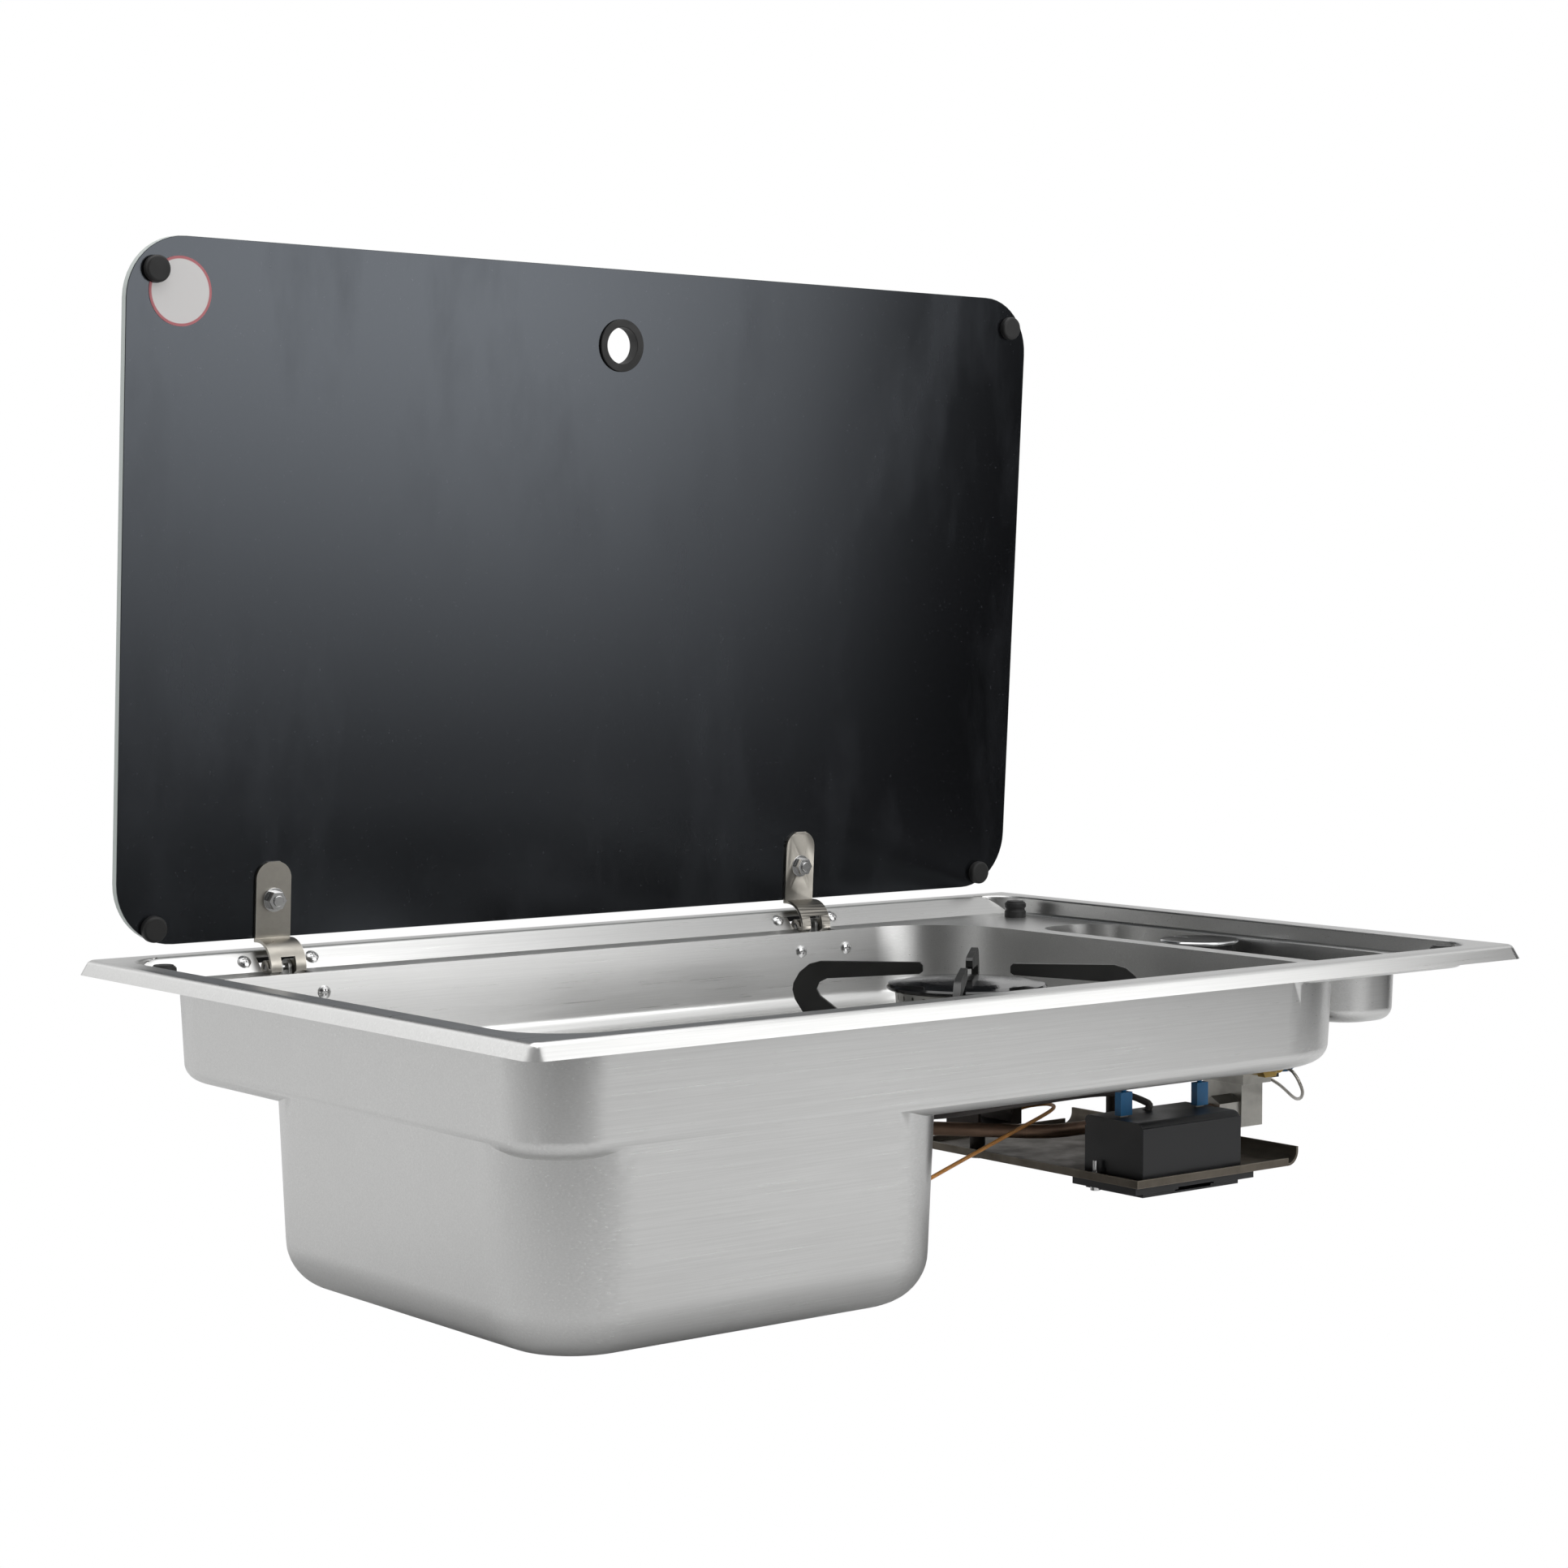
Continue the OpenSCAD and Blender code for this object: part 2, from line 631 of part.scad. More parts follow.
module burner_cap() color([0.1, 0.1, 0.1]) lift() at_burner() {
  translate([0, 0, cap_z - 0.9]) rotate_extrude()
    polygon([[0, 0], [cap_d / 2 - 1, 0], [cap_d / 2, 1], [cap_d / 2, 2.2], [cap_d / 2 - 1.2, 3.4],
             [cap_d / 2 - 8, 4], [cap_d / 2 - 20, 4.5], [0, 4.9]]);
  difference() {
    translate([0, 0, cap_z - 5]) cylinder(r = 31.5 - lift_play, h = 5);
    translate([0, 0, cap_z - 6]) cylinder(r = 28, h = 5);
  }
}

module mixing_tube() color("silver") lift() translate([0, burner_y, jet_z])
  rotate([0, 90, 0]) rotate_extrude() {
    x0 = burner_x + cup_r - 2.5;
    polygon([[8, x0], [9.4, x0], [9.4, x0 + 14], [11.5, x0 + 26], [14, x0 + 36],
             [14, x0 + 44], [12.5, x0 + 44], [12.5, x0 + 36.5], [10, x0 + 26.5],
             [8, x0 + 14.5]]);
  }

module injector_holder() color("darkgoldenrod") lift() translate([0, burner_y, jet_z])
  rotate([0, 90, 0]) {
    x0 = burner_x + cup_r + 41.5;
    difference() {
      union() {
        translate([0, 0, x0]) cylinder(r = 14, h = 1.6);
        translate([0, 0, x0 - 14]) cylinder(d = 8, h = 15);
        translate([0, 0, x0 + 1]) cylinder(d = 14, h = 17, $fn = 6);
      }
      translate([0, 0, x0 - 20]) cylinder(d = 1.2, h = 22);
      translate([0, 0, x0 + 1.5]) cylinder(d = 6.1, h = 20);
      for (a = [30 : 60 : 330]) rotate(a) translate([11.2, 0, x0 - 1]) cylinder(d = 5, h = 4);
    }
  }

module supply_pipe() color("peru") lift() {
  x0 = burner_x + cup_r + 44;
  translate([x0, burner_y, jet_z]) rotate([0, 90, 0]) difference() {
    cylinder(d = 6, h = knob_x - 10 - x0);
    translate([0, 0, -1]) cylinder(d = 4, h = 200);
  }
}

module spark_electrode() color("white") lift() at_burner(150, 45.5) {
  translate([0, 0, floor_z - 14]) cylinder(d = 4.2, h = 28);
  translate([0, 0, floor_z - 22]) cylinder(d = 2, h = 44);
  translate([-3.2, 0, floor_z + 21]) rotate([0, 90, 0]) cylinder(d = 1.6, h = 4);
}

module thermocouple() color("darkgray") lift() at_burner(30, 45.5) {
  translate([0, 0, floor_z - 18]) cylinder(d = 4.2, h = 40);
  translate([0, 0, floor_z + 22]) sphere(d = 4.2);
  translate([0, 0, floor_z + flange_t + 0.05]) difference() {
    cylinder(d = 8, h = 3, $fn = 6);
    translate([0, 0, -1]) cylinder(d = 4.2, h = 5);
  }
}

// one arm of the pan support, radius along x
module arm_side() {
  z0 = floor_z + 3.2;
  polygon([[25, -13.6], [26.6, -12], [84, -12], [90.5, -13.8], [96, -18.4],
           [99.4, -24.5], [100, -28.5], [98.6, -34], [93.6, -42], [89, -49],
           [87, z0], [56, z0], [56, z0 + 5.4], [62, z0 + 6.4], [70, -43],
           [78, -36.6], [84, -32], [86, -28], [84.4, -24], [80, -21.8],
           [27, -18.6], [25, -17.2]]);
}

module pan_support() color([0.12, 0.12, 0.12]) lift() at_burner() {
  difference() {
    for (q = [0 : 3]) rotate(45 + 90 * q)
      translate([0, -arm_t / 2, 0]) through(arm_t) arm_side();
    for (q = [0 : 3]) rotate(45 + 90 * q)
      translate([78, 0, floor_z + 3.2 - 1]) cylinder(d = 3, h = 5);
  }
  difference() {
    translate([0, 0, floor_z + 3.2]) cylinder(r = 60, h = 5.4);
    translate([0, 0, floor_z + 2]) cylinder(r = 54.5, h = 9);
  }
}

module support_feet() color("black") lift() at_burner()
  for (q = [0 : 3]) rotate(45 + 90 * q) translate([78, 0, floor_z]) {
    translate([0, 0, lift_play]) cylinder(d1 = 9, d2 = 10.5, h = 3.2 - lift_play);
    translate([0, 0, 2]) cylinder(d = 3, h = 5);
  }

module knob() color([0.1, 0.1, 0.1]) lift() translate([knob_x, knob_y, 0]) difference() {
  union() {
    translate([0, 0, -pocket_d + 7]) cylinder(r1 = knob_d / 2 - 4.4, r2 = knob_d / 2 - 3.4,
                                             h = pocket_d - 7 + knob_top - 3);
    translate([0, 0, knob_top - 3]) cylinder(r = knob_d / 2 - 3.4, h = 1);
  }
  translate([0, 0, -pocket_d + 6]) difference() {
    cylinder(r = knob_d / 2 - 7, h = 20);
    translate([0, 0, -1]) cylinder(d = 15, h = 22);
  }
  translate([0, 0, -pocket_d + 6]) cylinder(d = stem_d + 0.1, h = 22);
}

module knob_disc() color("lightgray") lift() translate([knob_x, knob_y, 0]) difference() {
  union() {
    translate([0, 0, knob_top - 2]) cylinder(d = knob_d, h = 1.2);
    translate([0, 0, knob_top - 0.8]) cylinder(d1 = knob_d, d2 = knob_d - 1.6, h = 0.8);
  }
  translate([-0.8, 10, knob_top - 0.5]) cube([1.6, 11, 2]);
}

module stem_seal() color("black") lift() translate([knob_x, knob_y, -pocket_d])
  rotate_extrude() polygon([[stem_d / 2 + 0.3, -0.6], [stem_d / 2 + 1.8, -0.6],
    [stem_d / 2 + 1.8, 0], [9.5, 0], [9.5, 1], [stem_d / 2 + 2.2, 2.6], [stem_d / 2 + 0.3, 2.6]]);

module valve_screws() color("lightgray") lift()
  for (s = [-1, 1]) translate([knob_x, knob_y + s * 14, -pocket_d]) difference() {
    pan_screw(sheet + 2.6);
    cross_cut();
  }

module valve_bracket() color("gray") lift() translate([knob_x, knob_y, -pocket_d - sheet])
  difference() {
    translate([-17, -21, -3]) cube([34, 42, 3]);
    translate([0, 0, -4]) cylinder(d = 20.4, h = 6);
    for (s = [-1, 1]) translate([0, s * 14, -4]) cylinder(d = screw_d + 0.1, h = 6);
  }

module valve_body() color("silver") lift() difference() {
  union() {
    translate([knob_x, knob_y, valve_low + 2])
      cylinder(d = 20, h = -valve_low - 2 - pocket_d - sheet - 0.4);
    translate([knob_x, knob_y, valve_low + 2])
      cylinder(d = 28, h = -valve_low - 2 - pocket_d - sheet - 3);
    translate([knob_x - 12, valve_front, valve_low]) cube([24, knob_y + 5 - valve_front, 26]);
    translate([knob_x - 9, valve_front + 4, inlet_z - 11]) cube([18, 32, 30]);
    translate([knob_x, valve_front + 20, inlet_z - 13]) cylinder(d = 15, h = 4);
    translate([knob_x - 26, inlet_y, inlet_z]) rotate([0, 90, 0]) cylinder(d = 17, h = 24, $fn = 6);
    translate([knob_x - 22, burner_y, jet_z]) rotate([0, 90, 0]) cylinder(d = 13, h = 14, $fn = 6);
  }
  translate([knob_x, knob_y, -85]) cylinder(d = stem_d + 2 * stem_play, h = 60);
  translate([knob_x, knob_y, -88]) cylinder(d = 11, h = 18);
  translate([knob_x - 40, inlet_y, inlet_z]) rotate([0, 90, 0]) cylinder(d = gas_d + 0.1, h = 34);
  translate([knob_x - 30, burner_y, jet_z]) rotate([0, 90, 0]) cylinder(d = 6.1, h = 20);
  translate([knob_x, valve_front - 14, bore_z]) rotate([-90, 0, 0]) cylinder(d = 16.2, h = 34);
}

module valve_stem() color("lightgray") lift() translate([knob_x, knob_y, 0]) difference() {
  translate([0, 0, seat_z]) cylinder(d = stem_d, h = -seat_z - pocket_d + 25);
  translate([2.6, -6, -pocket_d + 8]) cube([6, 12, 30]);
}

module spring_seat() color("lightgray") lift() translate([knob_x, knob_y, seat_z - 1.2])
  cylinder(d = 10.4, h = 1.2);

module valve_spring() color("gray") lift() translate([knob_x, knob_y, -87.6]) {
  turns = 4;
  high = 87.6 + seat_z - 1.2 - 1.4;
  p = [for (k = [0 : 8 * turns])
    [4.2 * cos(45 * k), 4.2 * sin(45 * k), 0.6 + high * k / (8 * turns)]];
  wire(p, 0.45);
}

// wire swept along given points, six sided
module wire(p, r) {
  n = len(p);
  rings = [for (i = [0 : n - 1])
    let (t = heading(p, i), s = unit([p[i][0], p[i][1], 0]), u = cross(t, s))
    for (k = [0 : 5]) p[i] + r * (cos(60 * k) * s + sin(60 * k) * u)];
  polyhedron(
    points = rings,
    faces = concat(
      [[for (k = [5 : -1 : 0]) k]],
      [for (i = [0 : n - 2]) for (k = [0 : 5]) for (h = [0, 1])
        h == 0 ? [i * 6 + k, i * 6 + (k + 1) % 6, (i + 1) * 6 + (k + 1) % 6]
               : [i * 6 + k, (i + 1) * 6 + (k + 1) % 6, (i + 1) * 6 + k]],
      [[for (k = [0 : 5]) (n - 1) * 6 + k]]),
    convexity = 4);
}

module safety_magnet() color("darkgoldenrod") lift() translate([knob_x, valve_front, bore_z])
  rotate([-90, 0, 0]) {
    translate([0, 0, -6]) cylinder(d = 16, h = 20);
    translate([0, 0, -11]) cylinder(d = 18, h = 6, $fn = 6);
    translate([0, 0, -18]) cylinder(d = 9, h = 8);
  }

module switch_block() color([0.08, 0.08, 0.08]) lift() difference() {
  union() {
    translate([knob_x + 12.2, valve_front + 2, valve_low + 2]) cube([9, 34, 20]);
    translate([knob_x + 14, valve_front + 14, valve_low - 2]) cube([5, 6, 5]);
  }
  translate([knob_x + 10, valve_front + 19, valve_low + 12]) rotate([0, 90, 0]) cylinder(d = 3.4, h = 14);
}

module gas_pipe() color("rosybrown") lift() translate([0, 0, inlet_z]) difference() {
  gas_route(gas_d / 2);
  translate([inlet_x, gas_end_y - 20, 0]) rotate([-90, 0, 0]) cylinder(d = gas_d - 2, h = 30);
}

// route of the gas pipe from the valve to its free end, with a sizing ring at each end of a bend
// and a rolled groove that ends the length a fitting goes over
module gas_route(r) {
  cut = 0.2;
  cut_a = 0.4;
  c1 = [gas_x0 + gas_bend * cos(220), inlet_y + gas_bend + gas_bend * sin(220)];
  c2 = [c1[0] + gas_run * cos(130), c1[1] + gas_run * sin(130)];
  c3 = [c2[0] + gas_bend * cos(40), c2[1] + gas_bend * sin(40)];
  mark_y = gas_end_y - sized_gas;
  translate([gas_x0 + cut, inlet_y, 0]) rotate([0, 90, 0])
    cylinder(r = r, h = knob_x - 10 - gas_x0 - cut);
  translate([gas_x0, inlet_y + gas_bend, 0]) rotate(220 + cut_a) rotate_extrude(angle = 50 - 2 * cut_a)
    translate([gas_bend, 0]) circle(r);
  translate([c1[0], c1[1], 0]) rotate(130) rotate([0, 90, 0])
    translate([0, 0, cut]) cylinder(r = r, h = gas_run - 2 * cut);
  translate([c3[0], c3[1], 0]) rotate(180 + cut_a) rotate_extrude(angle = 40 - 2 * cut_a)
    translate([gas_bend, 0]) circle(r);
  translate([inlet_x, c3[1] + cut, 0]) rotate([-90, 0, 0]) {
    cylinder(r = r, h = mark_y - 1.2 - c3[1] - cut);
    cylinder(r = r - 0.3, h = mark_y + 1 - c3[1] - cut);
    translate([0, 0, mark_y - c3[1] - cut]) cylinder(r = r, h = sized_gas);
  }
  for (p = [[gas_x0, inlet_y, 0], [c1[0], c1[1], 130], [c2[0], c2[1], 130], [inlet_x, c3[1], 90]])
    translate([p[0], p[1], 0]) rotate(p[2]) rotate([0, 90, 0]) translate([0, 0, -0.9])
      cylinder(r = r + 0.08, h = 1.8);
}

module base_plate() color([0.35, 0.33, 0.3]) lift() difference() {
  union() {
    translate([plate_x0, plate_y0, plate_z - plate_t])
      cube([plate_x1 - plate_x0 - 8, plate_y1 - plate_y0, plate_t]);
    translate([plate_x0, plate_y0, plate_z - plate_t])
      cube([plate_t, plate_y1 - plate_y0, plate_t + 3]);
    for (y = [plate_y0, plate_y1 - plate_t])
      translate([plate_x0, y, plate_z - plate_t])
        cube([plate_x1 - plate_x0 - 8, plate_t, plate_t + 3]);
    translate([0, plate_y0, 0]) through(plate_y1 - plate_y0) {
      cx = plate_x1 - 8;
      cz = plate_z - plate_t + 8;
      intersection() {
        translate([cx, cz]) difference() {
          circle(8);
          circle(8 - plate_t);
        }
        translate([cx, cz - 8]) square([9, 8]);
      }
      translate([plate_x1 - plate_t, cz - 0.01]) square([plate_t, 2.5]);
    }
  }
  for (p = posts()) translate([p[0], p[1], plate_z - 4]) cylinder(d = 5.3, h = 8);
  for (p = bolt_at)
    translate([p[0], p[1], plate_z - 4]) cylinder(d = 3.3, h = 8);
  translate([box_x0 + 8, box_y0 + 8, plate_z - 4]) cube([box_l - 16, box_w - 16, 8]);
}

function posts() = [post_at, side_post];

module hanger_bracket() color([0.12, 0.11, 0.1]) lift() difference() {
  union() {
    translate([burner_x - 9, burner_y - 9, cup_low - 2]) cube([37, 18, 2]);
    translate([burner_x + 26, burner_y - 9, -100]) cube([2, 18, 100 + cup_low]);
    translate([114, -8, -110]) cube([34, 28, 11.5]);
  }
  translate([116, -10, -108]) cube([24, 32, 7.5]);
  translate([burner_x, burner_y, cup_low - 3]) cylinder(d = 5.3, h = 4);
  translate([post_at[0], post_at[1], -112]) cylinder(d = 5.2, h = 6);
}

module plate_posts() color([0.12, 0.11, 0.1]) lift() {
  difference() {
    translate([post_at[0], post_at[1], plate_z]) cylinder(d = 9, h = -110 - plate_z);
    translate([post_at[0], post_at[1], plate_z - 1]) cylinder(d = 5.1, h = 8);
  }
  difference() {
    translate([side_post[0], side_post[1], plate_z]) cylinder(d = 8, h = under_z - plate_z);
    translate([side_post[0], side_post[1], plate_z - 1]) cylinder(d = 5.1, h = 8);
  }
}

module plate_screws() color("lightgray") lift() {
  for (p = posts())
    translate([p[0], p[1], plate_z - plate_t]) rotate([180, 0, 0]) difference() {
      union() {
        cylinder(d = 9, h = 3.2, $fn = 6);
        translate([0, 0, -plate_t - 6]) cylinder(d = 5, h = plate_t + 7);
      }
      translate([0, 0, 2.4]) cylinder(d = 4, h = 2);
    }
  translate([burner_x, burner_y, cup_low - 2]) {
    translate([0, 0, -3.5]) cylinder(d = 9, h = 3.5, $fn = 6);
    translate([0, 0, -1]) cylinder(d = 5.2, h = 7);
    translate([0, 0, 4.5]) cylinder(d = 9, h = 3, $fn = 6);
  }
}

module box_side() {
  r = 6;
  translate([0, 0]) square([box_w, box_h - r]);
  translate([r, 0]) square([box_w - r - 3, box_h]);
  translate([0, 0]) square([box_w - 1, box_h - 3]);
  translate([r, box_h - r]) circle(r);
  translate([box_w - 3, box_h - 3]) circle(3);
}

module igniter_box() color([0.1, 0.1, 0.11]) lift() translate([box_x0, box_y0, plate_z])
  difference() {
    translate([box_l / 2, 0, 0]) across(box_l) box_side();
    translate([2, 2, -1]) cube([box_l - 4, box_w - 4, box_h - 5]);
    for (x = [10, box_l - 7]) translate([x - 3.4, box_w - 21, box_h - 9]) cube([6.8, 1, 12]);
    translate([box_l / 2, box_w - 10, box_h - 9]) cylinder(d = spark_d + 1.2, h = 12);
  }

module igniter_base() color([0.07, 0.07, 0.07]) lift() difference() {
  union() {
    translate([box_x0 - 7, box_y0 - 1.5, plate_z - plate_t - 4]) cube([box_l + 16, box_w + 4, 4]);
    translate([box_x0 + 1, box_y0 + 1, plate_z - plate_t - 6.6]) cube([box_l - 2, box_w - 1, 3]);
    translate([box_x0 + 9, box_y0 + 9, plate_z - plate_t - 1]) cube([box_l - 18, box_w - 18, 4.5]);
  }
  translate([box_x0 + 26, box_y0 - 4, plate_z - plate_t - 5.4]) cube([28, 12, 2.6]);
  for (p = bolt_at)
    translate([p[0], p[1], plate_z - 12]) cylinder(d = 3.3, h = 14);
  translate([box_x0 + box_l / 2 - 25.5, box_y0 + box_w / 2, plate_z + 7]) rotate([0, 90, 0])
    cylinder(d = 14.8, h = 51);
}

module battery() color("steelblue") lift()
  translate([box_x0 + box_l / 2, box_y0 + box_w / 2, plate_z + 7]) rotate([0, 90, 0]) {
    translate([0, 0, -25]) cylinder(d = 14.2, h = 49);
    translate([0, 0, 24]) cylinder(d = 5.2, h = 1.2);
  }

module igniter_bolts() color("lightgray") lift()
  for (p = bolt_at) translate([p[0], p[1], 0]) {
    translate([0, 0, plate_z - plate_t - 4]) cylinder(d = 3, h = 14.5);
    translate([0, 0, plate_z - plate_t - 6.2]) cylinder(d = 5.6, h = 2.2);
    translate([0, 0, plate_z]) cylinder(d = 6.2, h = 2.6, $fn = 6);
  }

module igniter_tags() color("silver") lift()
  for (x = [10, box_l - 7]) translate([box_x0 + x - 3.15, box_y0 + box_w - 20.9, plate_z + box_h - 9])
    cube([6.3, 0.8, 16]);

module blue_boots() color("steelblue") lift()
  for (x = [10, box_l - 7])
    translate([box_x0 + x, box_y0 + box_w - 20.5, plate_z + box_h + 1]) difference() {
      translate([-4.4, -2.4, 0]) cube([8.8, 4.8, 13]);
      translate([-3.3, -0.6, -1]) cube([6.6, 1.2, 8]);
      translate([0, 0, 9.8]) cylinder(d = lead_d + 0.8, h = 5);
    }

module switch_leads() color("steelblue") lift() {
  y = box_y0 + box_w - 20.5;
  z = plate_z + box_h + 14;
  x1 = box_x0 + 10;
  x2 = box_x0 + box_l - 7;
  xe = knob_x + 16.7;
  ye = valve_front + 1.98;
  lead([[x1, y, z - 3], [x1, y, z], [x1, y, z + 3], [146, -88, -68], [225, -80, -66], [280, -84, -64],
        [302, -77, -69], [xe, -66, -77], [xe, ye, -78]], lead_d / 2, up = [0.3, 0.3, 1]);
  lead([[x2, y, z - 3], [x2, y, z], [x2, y, z + 3], [214, -101, -71], [264, -94, -68], [298, -86, -73],
        [xe, -69, -85], [xe, ye, -87]], lead_d / 2, up = [0.3, 0.3, 1]);
}

module spark_lead() color("dimgray") lift() {
  x = burner_x + 45.5 * cos(150);
  y = burner_y + 45.5 * sin(150);
  z = floor_z - 22.02;
  x0 = box_x0 + box_l / 2;
  y0 = box_y0 + box_w - 10;
  z0 = plate_z + box_h;
  lead([[x0, y0, z0 - 6], [x0, y0, z0 - 1], [x0, y0, z0 + 4], [146, -82, -83], [100, -66, -86], [62, -42, -92],
        [55, -8, -96], [x, y - 1, z - 11], [x, y, z - 5], [x, y, z]], spark_d / 2, up = [0.2, 1, 0.25]);
}

module probe_lead() color("peru") lift() {
  x = burner_x + 45.5 * cos(30);
  y = burner_y + 45.5 * sin(30);
  z = floor_z - 18.02;
  lead([[x, y, z], [x, y, z - 5], [165, 26, -90], [230, 34, -93], [300, 22, -90],
        [322, -8, -88], [329, -38, -98], [316, -68, -104], [300, -88, -96],
        [knob_x, valve_front - 29, -84], [knob_x, valve_front - 18.02, bore_z]], 1, up = [0.25, 0.3, 1]);
}

module earth_lead() color("orange") lift() {
  x0 = bowl_x0 + bowl_l - 2.1;
  lead([[x0, -131, -115.2], [x0 + 4, -129, -114.9], [20, -93, -108.9], [95, -58, -103.2],
        [148, -33, -99], [160, -18, -98.5], [157, -4, -101], [148.02, 1, -104]],
       1.1, up = [0.1, 0.2, 1]);
}

module waste_flange() color("silver") lift() translate([bowl_cx, waste_y, -bowl_d])
  rotate_extrude() polygon([[18.5, -24], [waste_r, -24], [waste_r, 0], [30, 0], [31, 0.5],
    [29, 1.4], [22.4, 1.4], [20.5, -3.5], [20.5, -8], [18.5, -9.5]]);

module waste_gasket() color("black") lift() translate([bowl_cx, waste_y, -bowl_d - sheet - 2])
  difference() {
    cylinder(r = 32, h = 2);
    translate([0, 0, -1]) cylinder(r = waste_r + 0.2, h = 5);
  }

module waste_nut() color("whitesmoke") lift() translate([bowl_cx, waste_y, -bowl_d - sheet - 7])
  difference() {
    union() {
      cylinder(r = 31, h = 5);
      for (k = [0 : 7]) rotate(45 * k) translate([29, -3, 0]) cube([4.5, 6, 5]);
    }
    translate([0, 0, -1]) cylinder(r = waste_r + 0.15, h = 8);
  }

module waste_elbow() color([0.15, 0.15, 0.15]) lift() translate([bowl_cx, waste_y, -bowl_d])
  difference() {
    union() {
      translate([0, 0, -34]) cylinder(r = waste_r + 3, h = 25.5);
      translate([0, 0, spigot_z]) rotate([-90, 0, 0]) {
        cylinder(d = spigot_d - 1, h = 58);
        translate([0, 0, 31]) cylinder(d = spigot_d, h = sized_spigot);
        translate([0, 0, 31 + sized_spigot]) cylinder(d1 = spigot_d, d2 = spigot_d - 1.4, h = 1.5);
      }
    }
    translate([0, 0, -31]) cylinder(r = waste_r + 0.1, h = 30);
    translate([0, 0, spigot_z]) rotate([-90, 0, 0]) cylinder(d = spigot_d - 6, h = 70);
  }

module sink_strainer() color("lightgray") lift() translate([bowl_cx, waste_y, -bowl_d]) {
  difference() {
    translate([0, 0, -8.2]) cylinder(r1 = 19.8, r2 = 19.9, h = 1.2);
    for (a = [0 : 45 : 315]) rotate(a) translate([13, 0, -9]) cylinder(d = 4, h = 4);
    for (a = [0 : 90 : 270]) rotate(a) translate([6.5, 0, -9]) cylinder(d = 3.4, h = 4);
  }
  translate([0, 0, -7.2]) cylinder(d = 4, h = 8);
  translate([0, 0, 0.6]) cylinder(d = 9, h = 2);
}

tray();
rim_seal();
hinge_bracket_left();
hinge_bracket_right();
hinge_pins();
hinge_screws();
hinge_strap_left();
hinge_strap_right();
lid_glass();
lid_ring();
lid_buffers();
lid_label();
lid_bolts();
lid_washers();
lid_bushes();
lid_nuts();
rest_bumpers();
burner_cup();
burner_clamp_ring();
burner_screws();
burner_head();
burner_cap();
mixing_tube();
injector_holder();
supply_pipe();
spark_electrode();
thermocouple();
pan_support();
support_feet();
knob();
knob_disc();
stem_seal();
valve_screws();
valve_bracket();
valve_body();
valve_stem();
spring_seat();
valve_spring();
safety_magnet();
switch_block();
gas_pipe();
base_plate();
hanger_bracket();
plate_posts();
plate_screws();
igniter_box();
igniter_base();
battery();
igniter_bolts();
igniter_tags();
blue_boots();
switch_leads();
spark_lead();
probe_lead();
earth_lead();
waste_flange();
waste_gasket();
waste_nut();
waste_elbow();
sink_strainer();
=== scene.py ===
import json
import math
import bmesh
import bpy
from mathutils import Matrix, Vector
from mathutils.bvhtree import BVHTree


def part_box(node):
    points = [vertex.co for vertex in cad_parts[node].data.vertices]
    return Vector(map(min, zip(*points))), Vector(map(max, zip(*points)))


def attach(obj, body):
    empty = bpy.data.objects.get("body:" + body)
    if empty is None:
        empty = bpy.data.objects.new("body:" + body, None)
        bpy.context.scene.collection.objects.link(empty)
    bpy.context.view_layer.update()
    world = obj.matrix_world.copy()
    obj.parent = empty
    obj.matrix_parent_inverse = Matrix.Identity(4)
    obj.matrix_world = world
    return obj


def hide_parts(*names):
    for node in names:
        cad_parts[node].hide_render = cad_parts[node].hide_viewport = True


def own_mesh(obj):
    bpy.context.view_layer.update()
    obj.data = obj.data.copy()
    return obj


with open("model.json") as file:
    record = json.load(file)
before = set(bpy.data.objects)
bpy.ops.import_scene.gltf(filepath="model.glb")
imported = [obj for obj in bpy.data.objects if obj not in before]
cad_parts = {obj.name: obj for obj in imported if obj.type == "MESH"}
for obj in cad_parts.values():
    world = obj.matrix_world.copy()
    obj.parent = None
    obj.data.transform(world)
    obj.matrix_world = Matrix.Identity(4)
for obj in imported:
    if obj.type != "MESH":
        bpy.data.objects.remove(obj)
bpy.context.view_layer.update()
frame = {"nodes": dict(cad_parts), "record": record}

nodes = frame["nodes"]
mm = 0.001
print("frame loaded:", len(nodes), "nodes")


# the camera stands where the photograph was taken from
cameraSet = {"place": (-1.1428, -1.4038, 0.2019), "yaw": 38.579, "down": 3.183, "lens": 75.18,
             "sensor": 36.0, "farthest": 60.0}


def makeCamera(values):
    data = bpy.data.cameras.new("photoCamera")
    data.sensor_width = values["sensor"]
    data.lens = values["lens"]
    data.clip_end = values["farthest"]
    camera = bpy.data.objects.new("photoCamera", data)
    bpy.context.scene.collection.objects.link(camera)
    camera.location = values["place"]
    camera.rotation_euler = (math.radians(90 - values["down"]), 0, -math.radians(values["yaw"]))
    bpy.context.scene.camera = camera


makeCamera(cameraSet)


# colours and shader helpers

def fromHex(code):
    parts = [int(code[i:i + 2], 16) / 255 for i in (1, 3, 5)]
    return [c / 12.92 if c <= 0.04045 else ((c + 0.055) / 1.055) ** 2.4 for c in parts] + [1.0]


def addNode(tree, kind, settings=None, links=None):
    new = tree.nodes.new(kind)
    for key, value in (settings or {}).items():
        if isinstance(key, str) and hasattr(new, key):
            setattr(new, key, value)
        else:
            new.inputs[key].default_value = value
    for key, source in (links or {}).items():
        tree.links.new(source, new.inputs[key])
    return new


def startMaterial(name, settings):
    material = bpy.data.materials.new(name)
    material.use_nodes = True
    tree = material.node_tree
    shader = tree.nodes["Principled BSDF"]
    for key, value in settings.items():
        shader.inputs[key].default_value = value
    return material, tree, shader


